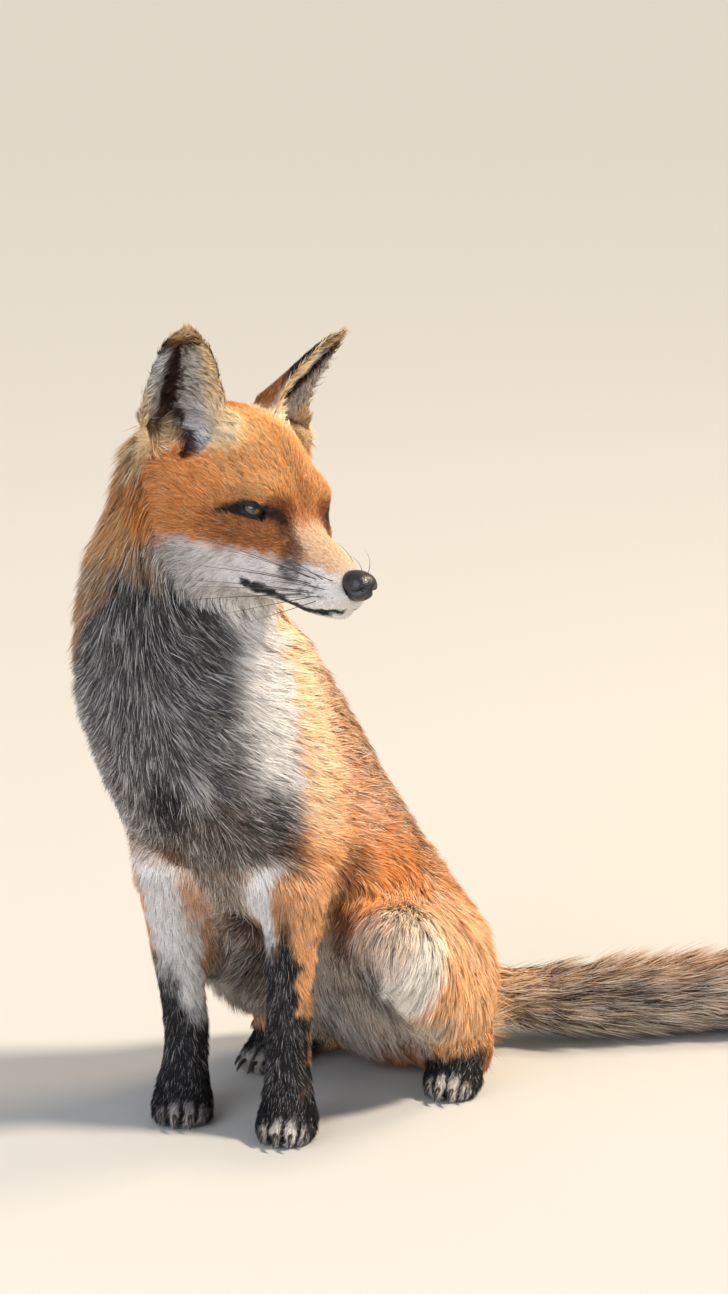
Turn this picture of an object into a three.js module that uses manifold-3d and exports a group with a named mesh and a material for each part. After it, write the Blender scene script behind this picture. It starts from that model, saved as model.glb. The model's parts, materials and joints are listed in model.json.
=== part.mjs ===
// Red fox (Vulpes vulpes), an adult in its short summer coat, as a still life-size display model.
// It sits upright on level ground, leans a little to its right, looks to its left, and lays its tail
// out behind it on the left. The outline is that of the coat. Millimetres, +Z up, the fox faces -Y.
//
// The body is one smooth solid, given as a signed distance that is below zero inside. It is meshed
// region by region, and each region is boxed off from its neighbours by a thin cut.
import * as THREE from "three";
import { mergeVertices } from "three/addons/utils/BufferGeometryUtils.js";
import Module from "manifold-3d";

const wasm = await Module();
wasm.setup();

// ---- Driving dimensions ----
const GAP = 0.3; // clear width of the cuts between neighbouring solids
const FLOOR = 0; // the level that the feet, rump and tail rest on
const HEAD_POSITION = [22, 31, 450]; // the point between the eyes
const HEAD_SCALE = 1.1; // the head is drawn for a skull about 135 mm long
const HEAD_YAW = 68; // degrees that the head is turned to the left
const HEAD_PITCH = 6; // degrees that the muzzle points down
const HEAD_ROLL = 8; // degrees that the left side of the head is lower
const EYE_RADIUS = 9.6;
const EYE_FORWARD = -5; // the eyes' centres, in the head's own frame
const EYE_OUT = 25;
const NOSE_CENTRE = [74, 0, -26.5]; // the nose leather, in the head's own frame
const NOSE_HALF = [10.5, 9.5, 9];
const EAR_BASE = [-64, 40, 30]; // the left ear, in the head's own frame
const EAR_TIP = [-52, 63, 101.5];
const EAR_BOW = 2; // how far the middle of the ear bows back
const EAR_HALF_WIDTH = 32;
const EAR_THICKNESS = 3.4;
const FOREPAW_WIDTH = 43;
const HINDPAW_WIDTH = 40;
const PAW_TOP = 34; // the heights and stations of the cuts between regions
const HINDFOOT_TOP = 36;
const SHOULDER_HEIGHT = 345;
const CHEST_HEIGHT = 178;
const THIGH_HEIGHT = 176;
const RUMP_HEIGHT = 112;
const TAIL_CUTS = [0.14, 0.42, 0.7]; // along the tail, from 0 at its root to 1 at its tip

const at = (x, y, z) => new THREE.Vector3(x, y, z);
const [X, Y, Z] = [at(1, 0, 0), at(0, 1, 0), at(0, 0, 1)];
const clamp = (t, low, high) => Math.min(Math.max(t, low), high);
const rad = THREE.MathUtils.degToRad;

// ---- Fields: each is a function of x, y, z that gives a signed distance ----

// A round bar that tapers from radius ra at a to rb at b. It is `wide` times as thick along `side`.
function bar(a, b, ra, rb, wide = 1, side = at(1, 0, 0)) {
  const axis = b.clone().sub(a);
  const lengthSq = axis.lengthSq();
  const across = side.clone().addScaledVector(axis, -side.dot(axis) / lengthSq).normalize();
  const squash = 1 / wide - 1;
  return (x, y, z) => {
    let dx = x - a.x;
    let dy = y - a.y;
    let dz = z - a.z;
    const t = clamp((dx * axis.x + dy * axis.y + dz * axis.z) / lengthSq, 0, 1);
    dx -= axis.x * t;
    dy -= axis.y * t;
    dz -= axis.z * t;
    const s = (dx * across.x + dy * across.y + dz * across.z) * squash;
    return Math.hypot(dx + s * across.x, dy + s * across.y, dz + s * across.z) - (ra + (rb - ra) * t);
  };
}

// An ellipsoid with half-axes rx, ry, rz about c.
function ball(c, rx, ry, rz) {
  return (x, y, z) => {
    const px = (x - c.x) / rx;
    const py = (y - c.y) / ry;
    const pz = (z - c.z) / rz;
    const near = Math.hypot(px, py, pz);
    const slope = Math.hypot(px / rx, py / ry, pz / rz);
    return slope < 1e-9 ? -Math.min(rx, ry, rz) : (near * (near - 1)) / slope;
  };
}

// The union of fields, with every inner corner filled to a fillet about k wide.
const blend = (k, ...fields) => (x, y, z) => {
  let d = Infinity;
  for (const field of fields) {
    const e = field(x, y, z);
    const h = Math.max(k - Math.abs(d - e), 0) / k;
    d = Math.min(d, e) - (Number.isFinite(h) ? (h * h * k) / 4 : 0);
  }
  return d;
};

// The field less a tool, with a rounded edge about k wide.
const carve = (k, field, tool) => (x, y, z) => {
  const d = field(x, y, z);
  const e = -tool(x, y, z);
  const h = Math.max(k - Math.abs(d - e), 0) / k;
  return Math.max(d, e) + (h * h * k) / 4;
};

// A field drawn in a frame of its own, placed in the body's frame.
function placed(frame, field) {
  const m = frame.matrixWorld.clone().invert().elements;
  const scale = Math.cbrt(frame.matrixWorld.determinant());
  return (x, y, z) =>
    scale *
    field(
      m[0] * x + m[4] * y + m[8] * z + m[12],
      m[1] * x + m[5] * y + m[9] * z + m[13],
      m[2] * x + m[6] * y + m[10] * z + m[14],
    );
}

// A round limb that runs smoothly through stations of [point, radius].
function limb(wide, side, ...stations) {
  const line = new THREE.CatmullRomCurve3(stations.map(([p]) => p));
  const girth = new THREE.CatmullRomCurve3(stations.map(([, r], i) => at(i, r, 0)));
  const steps = 4 * (stations.length - 1);
  const pieces = [];
  for (let i = 0; i < steps; i++) {
    const [t, u] = [i / steps, (i + 1) / steps];
    pieces.push(
      bar(line.getPoint(t), line.getPoint(u), girth.getPoint(t).y, girth.getPoint(u).y, wide, side),
    );
  }
  return (x, y, z) => pieces.reduce((d, piece) => Math.min(d, piece(x, y, z)), Infinity);
}

// Both the right copy (side -1) and the left copy (side 1) of a piece of the head.
const pair = (make) => [make(-1), make(1)];

// ---- Head: drawn in its own frame, x forward, y left, z up, about the point between the eyes ----
const headFrame = new THREE.Object3D();
headFrame.position.set(...HEAD_POSITION);
headFrame.scale.setScalar(HEAD_SCALE);
headFrame.rotation.set(rad(-HEAD_ROLL), rad(HEAD_PITCH), rad(HEAD_YAW - 90), "ZYX");
headFrame.updateMatrixWorld(true);
const inHead = (x, y, z) => at(x, y, z).applyMatrix4(headFrame.matrixWorld);
const headAxis = (x, y, z) => at(x, y, z).transformDirection(headFrame.matrixWorld);
const atSide = ([x, y, z], s) => inHead(x, s * y, z);

const skull = blend(
  16,
  ball(at(-44, 0, 8), 45, 35, 42),
  ball(at(-14, 0, 2), 28, 27, 24),
  ball(at(-78, 0, 10), 36, 34, 38),
  ...pair((s) => ball(at(-4, s * 17, 9), 13, 10, 8)),
  ...pair((s) => ball(at(-12, s * 20, -17), 28, 13, 15)),
  ...pair((s) => ball(at(-44, s * 34, -24), 33, 22, 29)),
  ...pair((s) => ball(at(-58, s * 33, -7), 26, 18, 24)),
  ...pair((s) => ball(at(-91, s * 40, 10), 25, 24, 32)),
  ball(at(-44, 0, -36), 36, 36, 28),
);
const muzzle = blend(
  8,
  limb(1, Y, [at(-16, 0, -14), 26], [at(22, 0, -20.5), 18], [at(67, 0, -28.5), 11.5]),
  ...pair((s) => ball(at(54, s * 8, -34), 19, 9.5, 10.5)),
);
const jaw = blend(
  10,
  bar(at(-24, 0, -42), at(60, 0, -45), 20, 8.5, 1.15, at(0, 1, 0)),
  ...pair((s) => ball(at(-2, s * 17, -38), 30, 14, 17)),
);
const orbits = blend(1, ...pair((s) => ball(at(4, s * 36, 0), 14, 11, 8)));
const earCups = blend(1, ...pair((s) => ball(at(-63, s * 42, 39), 20, 18, 28)));
const hollows = (x, y, z) => Math.min(orbits(x, y, z), earCups(x, y, z));
const head = placed(headFrame, blend(10, skull, muzzle, jaw));
const hollowed = placed(headFrame, hollows);

// ---- Trunk and neck ----
const torso = blend(
  30,
  limb(
    0.87,
    X,
    [at(-74, 50, 335), 78],
    [at(-61, 66, 285), 97],
    [at(-44, 104, 234), 90],
    [at(-18, 152, 168), 77],
    [at(0, 208, 92), 72],
  ),
  ball(at(0, 225, 60), 60, 58, 66),
);
const neck = limb(
  0.9,
  X,
  [at(-73, 47, 330), 77],
  [at(-82, 43, 385), 71],
  [at(-66, 51, 436), 63],
);

// ---- Legs ----

// A paw that stands on the floor, as wide as its four toes. `toe` is the tip of the middle toes and
// `heading` is where they point, in degrees from -Y toward +X.
function paw(toe, heading, width, length) {
  const ahead = at(Math.sin(rad(heading)), -Math.cos(rad(heading)), 0);
  const side = at(-ahead.y, ahead.x, 0);
  const spot = (back, out, z) =>
    toe.clone().addScaledVector(ahead, -back).addScaledVector(side, out).setZ(z);
  const toes = [
    [9, -0.36],
    [0, -0.125],
    [0, 0.125],
    [9, 0.36],
  ].map(([back, out]) => bar(spot(back + 26, out * width * 0.8, 13), spot(back + 9, out * width, 8), 9, 8.5));
  return blend(
    3.5,
    blend(8, ...toes.slice(0, 2)),
    blend(8, ...toes.slice(2)),
    bar(spot(length * 0.75, 0, 10), spot(24, 0, 9), width * 0.32, width * 0.36),
  );
}

function foreleg(shoulder, elbow, wrist, toe, heading) {
  const back = at(-Math.sin(rad(heading)), Math.cos(rad(heading)), 0);
  const knuckle = toe.clone().addScaledVector(back, 34).setZ(16);
  return blend(
    8,
    limb(
      1.0,
      X,
      [shoulder, 38],
      [elbow, 27],
      [elbow.clone().lerp(wrist, 0.35), 21],
      [elbow.clone().lerp(wrist, 0.7), 18],
      [wrist, 17.5],
      [knuckle, 18.5],
    ),
    paw(toe, heading, FOREPAW_WIDTH, 60),
  );
}
const forelegLeft = foreleg(at(-4, 66, 250), at(4, 66, 190), at(6, 52, 58), at(23, 14, 0), 22);
const forelegRight = foreleg(at(-100, 54, 250), at(-93, 54, 190), at(-76, 52, 58), at(-58, 15, 0), 30);

function hindleg(s, hip, knee, hock, toe, heading) {
  const shin = knee.clone().lerp(hock, 0.5).add(at(s * 8, -12, -4));
  return blend(
    10,
    blend(
      22,
      bar(hip, knee, 50, 30, 0.88),
      limb(1.0, X, [knee, 30], [shin, 27], [hock, 18]),
      bar(hip.clone().lerp(hock, 0.35), hock, 42, 20),
    ),
    bar(hock, toe.clone().lerp(hock, 0.4).setZ(17), 18, 17.5),
    paw(toe, heading, HINDPAW_WIDTH, 60),
  );
}
const hindlegLeft = hindleg(1, at(40, 198, 96), at(66, 100, 134), at(55, 232, 18), at(75, 154, 0), 12);
const hindlegRight = hindleg(-1, at(-42, 198, 92), at(-74, 104, 122), at(-66, 236, 18), at(-79, 142, 0), -10);

// ---- Tail ----
const TAIL_CURVE = new THREE.CatmullRomCurve3([
  at(4, 262, 56),
  at(28, 286, 40),
  at(90, 330, 32),
  at(166, 392, 32),
  at(240, 440, 30),
  at(320, 470, 24),
]);
const TAIL_RADII = [26, 28, 31, 33, 33, 29, 10];
const tail = limb(
  1.0,
  X,
  ...TAIL_RADII.map((r, i) => [TAIL_CURVE.getPointAt(i / (TAIL_RADII.length - 1)), r]),
);

// ---- The whole body ----
const body = carve(
  5,
  blend(
    14,
    blend(30, torso, neck, head, tail),
    forelegLeft,
    forelegRight,
    hindlegLeft,
    hindlegRight,
  ),
  hollowed,
);

// ---- Meshing ----

// A closed mesh of a field's zero surface inside a box, one vertex to each cell that it passes through.
function meshOf(field, box, cell) {
  const size = box.getSize(at(0, 0, 0));
  const [nx, ny, nz] = size.toArray().map((s) => Math.ceil(s / cell) + 2);
  const start = box.min.clone().subScalar(cell / 2);
  const values = new Float32Array(nx * ny * nz);
  const index = (i, j, k) => (k * ny + j) * nx + i;
  const at3 = (i, j, k) => field(start.x + i * cell, start.y + j * cell, start.z + k * cell);
  const border = (i, n) => i === 0 || i === n - 1;
  // Cubes of four cells that lie well clear of the surface need only their middle point.
  for (let kk = 0; kk < nz; kk += 4)
    for (let jj = 0; jj < ny; jj += 4)
      for (let ii = 0; ii < nx; ii += 4) {
        const middle = at3(ii + 1.5, jj + 1.5, kk + 1.5);
        const clear = Math.abs(middle) > 5.5 * cell;
        for (let k = kk; k < Math.min(kk + 4, nz); k++)
          for (let j = jj; j < Math.min(jj + 4, ny); j++)
            for (let i = ii; i < Math.min(ii + 4, nx); i++) {
              const d = clear ? middle : at3(i, j, k);
              const edge = border(i, nx) || border(j, ny) || border(k, nz);
              values[index(i, j, k)] = edge ? Math.max(d, cell) : d;
            }
      }
  while (!clearChequers(values, nx, ny, nz));
  const corners = [0, 1, 2, 3, 4, 5, 6, 7].map((c) => [c & 1, (c >> 1) & 1, c >> 2]);
  const edges = [];
  for (let a = 0; a < 8; a++)
    for (const bit of [1, 2, 4]) if (!(a & bit)) edges.push([a, a | bit]);
  const vertexOf = new Map();
  const positions = [];
  for (let k = 0; k < nz - 1; k++)
    for (let j = 0; j < ny - 1; j++)
      for (let i = 0; i < nx - 1; i++) {
        const d = corners.map(([a, b, c]) => values[index(i + a, j + b, k + c)]);
        const inside = d.filter((x) => x < 0).length;
        if (inside === 0 || inside === 8) continue;
        const p = at(0, 0, 0);
        let n = 0;
        for (const [a, b] of edges)
          if (d[a] < 0 !== d[b] < 0) {
            const t = d[a] / (d[a] - d[b]);
            p.x += corners[a][0] + t * (corners[b][0] - corners[a][0]);
            p.y += corners[a][1] + t * (corners[b][1] - corners[a][1]);
            p.z += corners[a][2] + t * (corners[b][2] - corners[a][2]);
            n++;
          }
        p.divideScalar(n).add(at(i, j, k)).multiplyScalar(cell).add(start);
        vertexOf.set(index(i, j, k), positions.length / 3);
        positions.push(...settled(field, p, cell).toArray());
      }
  const triangles = [];
  const quad = (flip, a, b, c, d) => {
    const [e, f, g, h] = [a, b, c, d].map((v) => vertexOf.get(v));
    triangles.push(...(flip ? [e, g, f, e, h, g] : [e, f, g, e, g, h]));
  };
  for (let k = 0; k < nz - 1; k++)
    for (let j = 0; j < ny - 1; j++)
      for (let i = 0; i < nx - 1; i++) {
        const here = values[index(i, j, k)] < 0;
        if (here !== values[index(i + 1, j, k)] < 0)
          quad(!here, index(i, j - 1, k - 1), index(i, j, k - 1), index(i, j, k), index(i, j - 1, k));
        if (here !== values[index(i, j + 1, k)] < 0)
          quad(!here, index(i - 1, j, k - 1), index(i - 1, j, k), index(i, j, k), index(i, j, k - 1));
        if (here !== values[index(i, j, k + 1)] < 0)
          quad(!here, index(i - 1, j - 1, k), index(i, j - 1, k), index(i, j, k), index(i - 1, j, k));
      }
  return { positions: new Float32Array(positions), triangles: new Uint32Array(triangles) };
}

// Where a square of the grid has its inside corners on one diagonal and its outside corners on the
// other, its faintest corner changes sides, so that no edge of the mesh has four faces. It returns
// whether there were none.
function clearChequers(values, nx, ny, nz) {
  const steps = [1, nx, nx * ny];
  const sizes = [nx, ny, nz];
  let none = true;
  for (const [p, q] of [[0, 1], [1, 2], [2, 0]]) {
    const ends = sizes.map((n, axis) => (axis === p || axis === q ? n - 1 : n));
    for (let k = 0; k < ends[2]; k++)
      for (let j = 0; j < ends[1]; j++)
        for (let i = 0; i < ends[0]; i++) {
          const a = (k * ny + j) * nx + i;
          const square = [a, a + steps[p], a + steps[p] + steps[q], a + steps[q]];
          const [d0, d1, d2, d3] = square.map((v) => values[v] < 0);
          if (d0 !== d2 || d1 !== d3 || d0 === d1) continue;
          const faintest = square.sort((u, v) => Math.abs(values[u]) - Math.abs(values[v]))[0];
          values[faintest] = values[faintest] < 0 ? 1e-3 : -1e-3;
          none = false;
        }
  }
  return none;
}

// A point moved onto the field's zero surface, by at most half a cell.
function settled(field, p, cell) {
  const step = cell / 20;
  const from = p.clone();
  for (let n = 0; n < 2; n++) {
    const d = field(p.x, p.y, p.z);
    const g = at(
      field(p.x + step, p.y, p.z) - d,
      field(p.x, p.y + step, p.z) - d,
      field(p.x, p.y, p.z + step) - d,
    ).divideScalar(step);
    if (g.lengthSq() < 1e-6) break;
    p.addScaledVector(g, -d / g.lengthSq());
  }
  return p.distanceTo(from) < cell / 2 ? p : from;
}

const solidOf = ({ positions, triangles }) =>
  new wasm.Manifold(new wasm.Mesh({ numProp: 3, vertProperties: positions, triVerts: triangles }));

const solidFrom = (geometry, matrix) => {
  const g = mergeVertices(geometry.clone().deleteAttribute("uv").deleteAttribute("normal"), 1e-4);
  if (matrix) g.applyMatrix4(matrix);
  return solidOf({
    positions: new Float32Array(g.attributes.position.array),
    triangles: new Uint32Array(g.index.array),
  });
};

// ---- Regions ----
// Each has the size of its mesh's cells and the planes that bound it, as [point, outward normal]. A
// region takes what the ones before it have left.
const away = (v) => v.clone().negate();
const above = (z) => [at(0, 0, z), away(Z)];
const below = (z) => [at(0, 0, z), Z];
const ahead = (y) => [at(0, y, 0), Y];
const leftOf = (x) => [at(x, 0, 0), away(X)];
const rightOf = (x) => [at(x, 0, 0), X];
const behindTailCut = (i) => [
  TAIL_CURVE.getPointAt(TAIL_CUTS[i]),
  TAIL_CURVE.getTangentAt(TAIL_CUTS[i]).negate(),
];
const NECK_CUT = [inHead(-18, 0, -66), headAxis(-0.87, 0, -0.49)];
const MOUTH_CUT = [inHead(60, 0, -45), headAxis(0, 0, 1)];
const THROAT_CUT = [inHead(0, 0, -66), headAxis(0, 0, -1)];
const ELBOW_CUT = [at(0, 66, 166), at(0, 0.8, 1)];

const REGIONS = {
  jaw: [10, NECK_CUT, MOUTH_CUT, THROAT_CUT],
  head: [9.6, NECK_CUT, THROAT_CUT],
  neck: [23, above(SHOULDER_HEIGHT)],
  chest: [25, above(CHEST_HEIGHT)],
  forepaw_left: [9, below(PAW_TOP), ahead(92), leftOf(-32)],
  forepaw_right: [9, below(PAW_TOP), ahead(92), rightOf(-32)],
  foreleg_left: [15, leftOf(-32), rightOf(33), ahead(84), ELBOW_CUT],
  foreleg_right: [15, rightOf(-58), ahead(79), ELBOW_CUT],
  hindfoot_left: [9, below(HINDFOOT_TOP), ahead(192), leftOf(32)],
  hindfoot_right: [9, below(HINDFOOT_TOP), ahead(192), rightOf(-32)],
  thigh_left: [22, leftOf(32), below(THIGH_HEIGHT), ahead(262)],
  thigh_right: [24, rightOf(-32), below(THIGH_HEIGHT), ahead(262)],
  tail_tip: [17, behindTailCut(2)],
  tail_middle: [22, behindTailCut(1)],
  tail_root: [22, behindTailCut(0)],
  belly: [28, above(RUMP_HEIGHT)],
  rump: [28],
};

// The convex block between a region's planes, with each plane moved outward by `grow`.
const WORLD = new THREE.Box3(at(-190, -70, FLOOR), at(370, 520, 560));
function blockOf(planes, grow) {
  const size = WORLD.getSize(at(0, 0, 0));
  const centre = WORLD.getCenter(at(0, 0, 0));
  let block = solidFrom(new THREE.BoxGeometry(...size), new THREE.Matrix4().setPosition(centre));
  for (const [p, n] of planes) {
    const u = n.clone().normalize();
    block = block.trimByPlane([-u.x, -u.y, -u.z], -u.dot(p) - grow);
  }
  return block;
}

// The biggest of the separate bodies in a solid.
const mainBody = (solid) => solid.decompose().sort((a, b) => b.volume() - a.volume())[0];

// ---- Eyes and nose leather ----
const eye = (s, grow) =>
  solidFrom(
    new THREE.SphereGeometry(EYE_RADIUS + grow, 14, 9),
    new THREE.Matrix4().setPosition(inHead(EYE_FORWARD, s * EYE_OUT, 0)),
  );
const noseField = placed(headFrame, ball(at(...NOSE_CENTRE), ...NOSE_HALF));
const noseBox = new THREE.Box3().setFromCenterAndSize(inHead(...NOSE_CENTRE), at(40, 40, 40));
const nose = (grow) => solidOf(meshOf((x, y, z) => noseField(x, y, z) - grow, noseBox, 4.6));

// ---- Ears: each is a curled shell, lofted from below its base to its tip ----
function ear(s) {
  const base = atSide(EAR_BASE, s);
  const tip = atSide(EAR_TIP, s);
  const up = tip.clone().sub(base);
  const length = up.length();
  up.normalize();
  const open = headAxis(0.88, s * 0.47, 0);
  open.addScaledVector(up, -open.dot(up)).normalize();
  const across = open.clone().cross(up).normalize();
  const rows = 8;
  const arc = 7;
  const positions = [];
  const spot = (t, half, deep, angle) => {
    const p = base
      .clone()
      .addScaledVector(up, t * length)
      .addScaledVector(open, -Math.cos(angle) * deep - EAR_BOW * Math.sin(Math.PI * t))
      .addScaledVector(across, Math.sin(angle) * half);
    positions.push(p.x, p.y, p.z);
  };
  for (let i = 0; i <= rows; i++) {
    const t = -0.3 + 1.3 * (1 - (1 - i / rows) ** 1.25);
    const half = EAR_HALF_WIDTH * earWidth(t);
    const deep = half * (t < 0.5 ? 1.08 - 0.92 * Math.max(t, 0) : 0.78 - 0.32 * t);
    const curl = rad(118 - 43 * clamp(t / 0.35, 0, 1));
    const thick = Math.min(EAR_THICKNESS, half * 0.45);
    for (let j = 0; j <= arc; j++) spot(t, half, deep, curl * ((2 * j) / arc - 1));
    for (let j = arc; j >= 0; j--) spot(t, half - thick, deep - thick, 0.96 * curl * ((2 * j) / arc - 1));
  }
  const ring = 2 * (arc + 1);
  const triangles = [];
  for (let i = 0; i < rows; i++)
    for (let j = 0; j < ring; j++) {
      const k = (j + 1) % ring;
      const [a, b, c, d] = [i * ring + j, i * ring + k, (i + 1) * ring + k, (i + 1) * ring + j];
      triangles.push(a, b, c, a, c, d);
    }
  for (const i of [0, rows])
    for (let j = 0; j < arc; j++) {
      const [a, b] = [i * ring + j, i * ring + j + 1];
      const [c, d] = [i * ring + ring - 2 - j, i * ring + ring - 1 - j];
      triangles.push(...(i === 0 ? [a, c, b, a, d, c] : [a, b, c, a, c, d]));
    }
  return solidOf({ positions: new Float32Array(positions), triangles: new Uint32Array(triangles) });
}

// How wide the ear is at a height t from 0 at its base to 1 at its tip, 1 being its widest.
function earWidth(t) {
  if (t < 0.1) return 1 - 0.6 * (0.1 - t) ** 1.4;
  return Math.sqrt(Math.max(1 - ((t - 0.1) / 0.905) ** 2.1, 0.002)) * (1.014 - 0.14 * t);
}

// ---- Assembly ----
const fox = new THREE.Group();
fox.name = "fox";
const groups = Object.fromEntries(
  ["head_parts", "trunk", "legs", "tail"].map((name) => {
    const group = new THREE.Group();
    group.name = name;
    fox.add(group);
    return [name, group];
  }),
);

function place(group, name, solid, colour, roughness, metalness = 0) {
  const { vertProperties, triVerts } = solid.getMesh();
  const geometry = new THREE.BufferGeometry();
  geometry.setAttribute("position", new THREE.BufferAttribute(new Float32Array(vertProperties), 3));
  geometry.setIndex(new THREE.BufferAttribute(new Uint32Array(triVerts), 1));
  geometry.computeVertexNormals();
  const material = new THREE.MeshStandardMaterial({ color: colour, roughness, metalness });
  const mesh = new THREE.Mesh(geometry, material);
  mesh.name = name;
  groups[group].add(mesh);
}

const COATS = {
  jaw: ["head_parts", "#cfc8c0"],
  head: ["head_parts", "#c8702e"],
  neck: ["trunk", "#a9805c"],
  chest: ["trunk", "#8f8078"],
  belly: ["trunk", "#b4875c"],
  rump: ["trunk", "#c07034"],
  forepaw_left: ["legs", "#33302f"],
  forepaw_right: ["legs", "#33302f"],
  foreleg_left: ["legs", "#5b4c42"],
  foreleg_right: ["legs", "#5b4c42"],
  hindfoot_left: ["legs", "#3a3330"],
  hindfoot_right: ["legs", "#3a3330"],
  thigh_left: ["legs", "#c98447"],
  thigh_right: ["legs", "#c98447"],
  tail_tip: ["tail", "#d9cbb4"],
  tail_middle: ["tail", "#a98c70"],
  tail_root: ["tail", "#b98f64"],
};

const taken = [];
for (const [name, [cell, ...planes]] of Object.entries(REGIONS)) {
  const block = blockOf(planes, 0);
  const { min, max } = block.boundingBox();
  const box = new THREE.Box3(at(...min), at(...max)).expandByScalar(1.5 * cell);
  let solid = solidOf(meshOf(body, box, cell)).intersect(block);
  for (const other of taken) solid = solid.subtract(blockOf(other, GAP));
  if (name === "head") solid = solid.subtract(eye(-1, GAP)).subtract(eye(1, GAP));
  if (name === "head" || name === "jaw") solid = solid.subtract(nose(GAP));
  const [group, colour] = COATS[name];
  place(group, name, mainBody(solid), colour, 0.9);
  taken.push(planes);
}

place("head_parts", "nose", nose(0), "#17130f", 0.35);
for (const [side, s] of [["right", -1], ["left", 1]]) {
  place("head_parts", "eye_" + side, eye(s, 0), "#4a2f14", 0.08);
  const around = new THREE.Box3().setFromCenterAndSize(inHead(-50, s * 50, 40), at(180, 180, 180));
  const seat = solidOf(meshOf((x, y, z) => body(x, y, z) - GAP, around, 6));
  place("head_parts", "ear_" + side, mainBody(ear(s).subtract(seat)), "#4a3a30", 0.9);
}

// The origin is on the floor, under the middle of the fox's length and width.
const extent = new THREE.Box3().setFromObject(fox);
fox.position.set(-(extent.min.x + extent.max.x) / 2, -(extent.min.y + extent.max.y) / 2, -extent.min.z);
fox.updateMatrixWorld(true);

export default fox;
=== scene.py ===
import json
import math

import bpy
import numpy as np
from mathutils import Euler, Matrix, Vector
from mathutils.bvhtree import BVHTree

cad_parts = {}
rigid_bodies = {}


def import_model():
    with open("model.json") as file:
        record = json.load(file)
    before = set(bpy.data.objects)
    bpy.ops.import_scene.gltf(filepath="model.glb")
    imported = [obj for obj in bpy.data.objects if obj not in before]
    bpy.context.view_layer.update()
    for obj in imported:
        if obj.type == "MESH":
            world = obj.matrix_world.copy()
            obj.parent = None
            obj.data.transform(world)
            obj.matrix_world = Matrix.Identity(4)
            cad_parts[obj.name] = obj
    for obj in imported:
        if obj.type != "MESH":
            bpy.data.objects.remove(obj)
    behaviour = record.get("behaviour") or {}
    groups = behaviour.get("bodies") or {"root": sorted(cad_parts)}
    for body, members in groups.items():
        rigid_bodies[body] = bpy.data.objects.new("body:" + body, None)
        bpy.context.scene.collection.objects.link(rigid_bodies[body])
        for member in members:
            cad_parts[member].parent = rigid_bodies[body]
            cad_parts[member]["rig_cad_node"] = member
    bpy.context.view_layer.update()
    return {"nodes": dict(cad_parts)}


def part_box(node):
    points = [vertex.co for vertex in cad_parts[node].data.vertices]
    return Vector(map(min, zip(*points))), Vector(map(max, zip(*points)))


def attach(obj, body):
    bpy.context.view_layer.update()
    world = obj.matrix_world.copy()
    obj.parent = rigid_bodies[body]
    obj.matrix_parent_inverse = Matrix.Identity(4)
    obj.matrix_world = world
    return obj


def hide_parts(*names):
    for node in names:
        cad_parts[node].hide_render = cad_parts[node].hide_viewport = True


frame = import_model()


# ---- Where things are ----
# The fox is drawn in two sets of axes, both in millimetres. The head's has x along the muzzle, y to the
# fox's left and z through the crown, from the point between the eyes. The body's has z from the floor
# and y towards the tail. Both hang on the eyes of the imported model.
HEAD_SCALE = 1.1
HEAD_TURN = Euler((math.radians(-8), math.radians(6), math.radians(-22)), "XYZ").to_matrix()
BETWEEN_EYES = np.array((-5, 0, 0))
HEAD_IN_BODY = np.array((22, 31, 450))


def middle(node):
    """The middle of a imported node's box."""
    low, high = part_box(node)
    return (low + high) / 2


head_axes = np.array(HEAD_TURN)
head_place = np.array((middle("eye_left") + middle("eye_right")) / 2) * 1000
head_place -= head_axes @ BETWEEN_EYES * HEAD_SCALE
body_place = head_place - HEAD_IN_BODY


def in_head(points):
    """Row-frame metres to the head's millimetres."""
    return (np.asarray(points) * 1000 - head_place) @ head_axes / HEAD_SCALE


def from_head(points):
    """The head's millimetres to row-frame metres."""
    return (np.asarray(points, float) * HEAD_SCALE @ head_axes.T + head_place) / 1000


def in_body(points):
    """Row-frame metres to the body's millimetres."""
    return np.asarray(points) * 1000 - body_place


def from_body(points):
    """The body's millimetres to row-frame metres."""
    return (np.asarray(points, float) + body_place) / 1000


# ---- Camera ----
# It stands 3.5 m away, ahead of the fox and to its left, a little above its head.
VIEW_TURN, VIEW_RISE = math.radians(30), math.radians(15)
VIEW_DISTANCE = 3.5
PICTURE_HEIGHT = 1294
LENS_LENGTH = 5180  # in the same parts as the picture's height
SENSOR = 36
AIMED_AT = (17, 0, 300)  # a point inside the chest
AIM_OFF = (102, 88)  # from that point to the middle of the picture, right and up, in the same parts
back = np.array(
    (
        math.sin(VIEW_TURN) * math.cos(VIEW_RISE),
        -math.cos(VIEW_TURN) * math.cos(VIEW_RISE),
        math.sin(VIEW_RISE),
    )
)
right = np.array((math.cos(VIEW_TURN), math.sin(VIEW_TURN), 0))
up = np.cross(back, right)
anchor = from_body(AIMED_AT)
line_of_sight = -back + (right * AIM_OFF[0] + up * AIM_OFF[1]) / LENS_LENGTH

camera_data = bpy.data.cameras.new("camera")
camera_data.sensor_width = SENSOR
camera_data.lens = SENSOR * LENS_LENGTH / PICTURE_HEIGHT
camera_data.clip_end = 50
camera = bpy.data.objects.new("camera", camera_data)
camera.location = anchor + back * VIEW_DISTANCE
camera.rotation_euler = Vector(line_of_sight).to_track_quat("-Z", "Y").to_euler()
bpy.context.scene.collection.objects.link(camera)
bpy.context.scene.camera = camera


# ---- Skin ----
# The hide of the whole animal in one piece, from the lips to the tail's tip, made from a joined copy of
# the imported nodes. It lies under their outline by the depth of the coat, and carries the coat's markings,
# which show between the hairs.
VOXEL = 0.0027
GROWTH = 0.001  # closes the thin cuts between the solids

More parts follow.
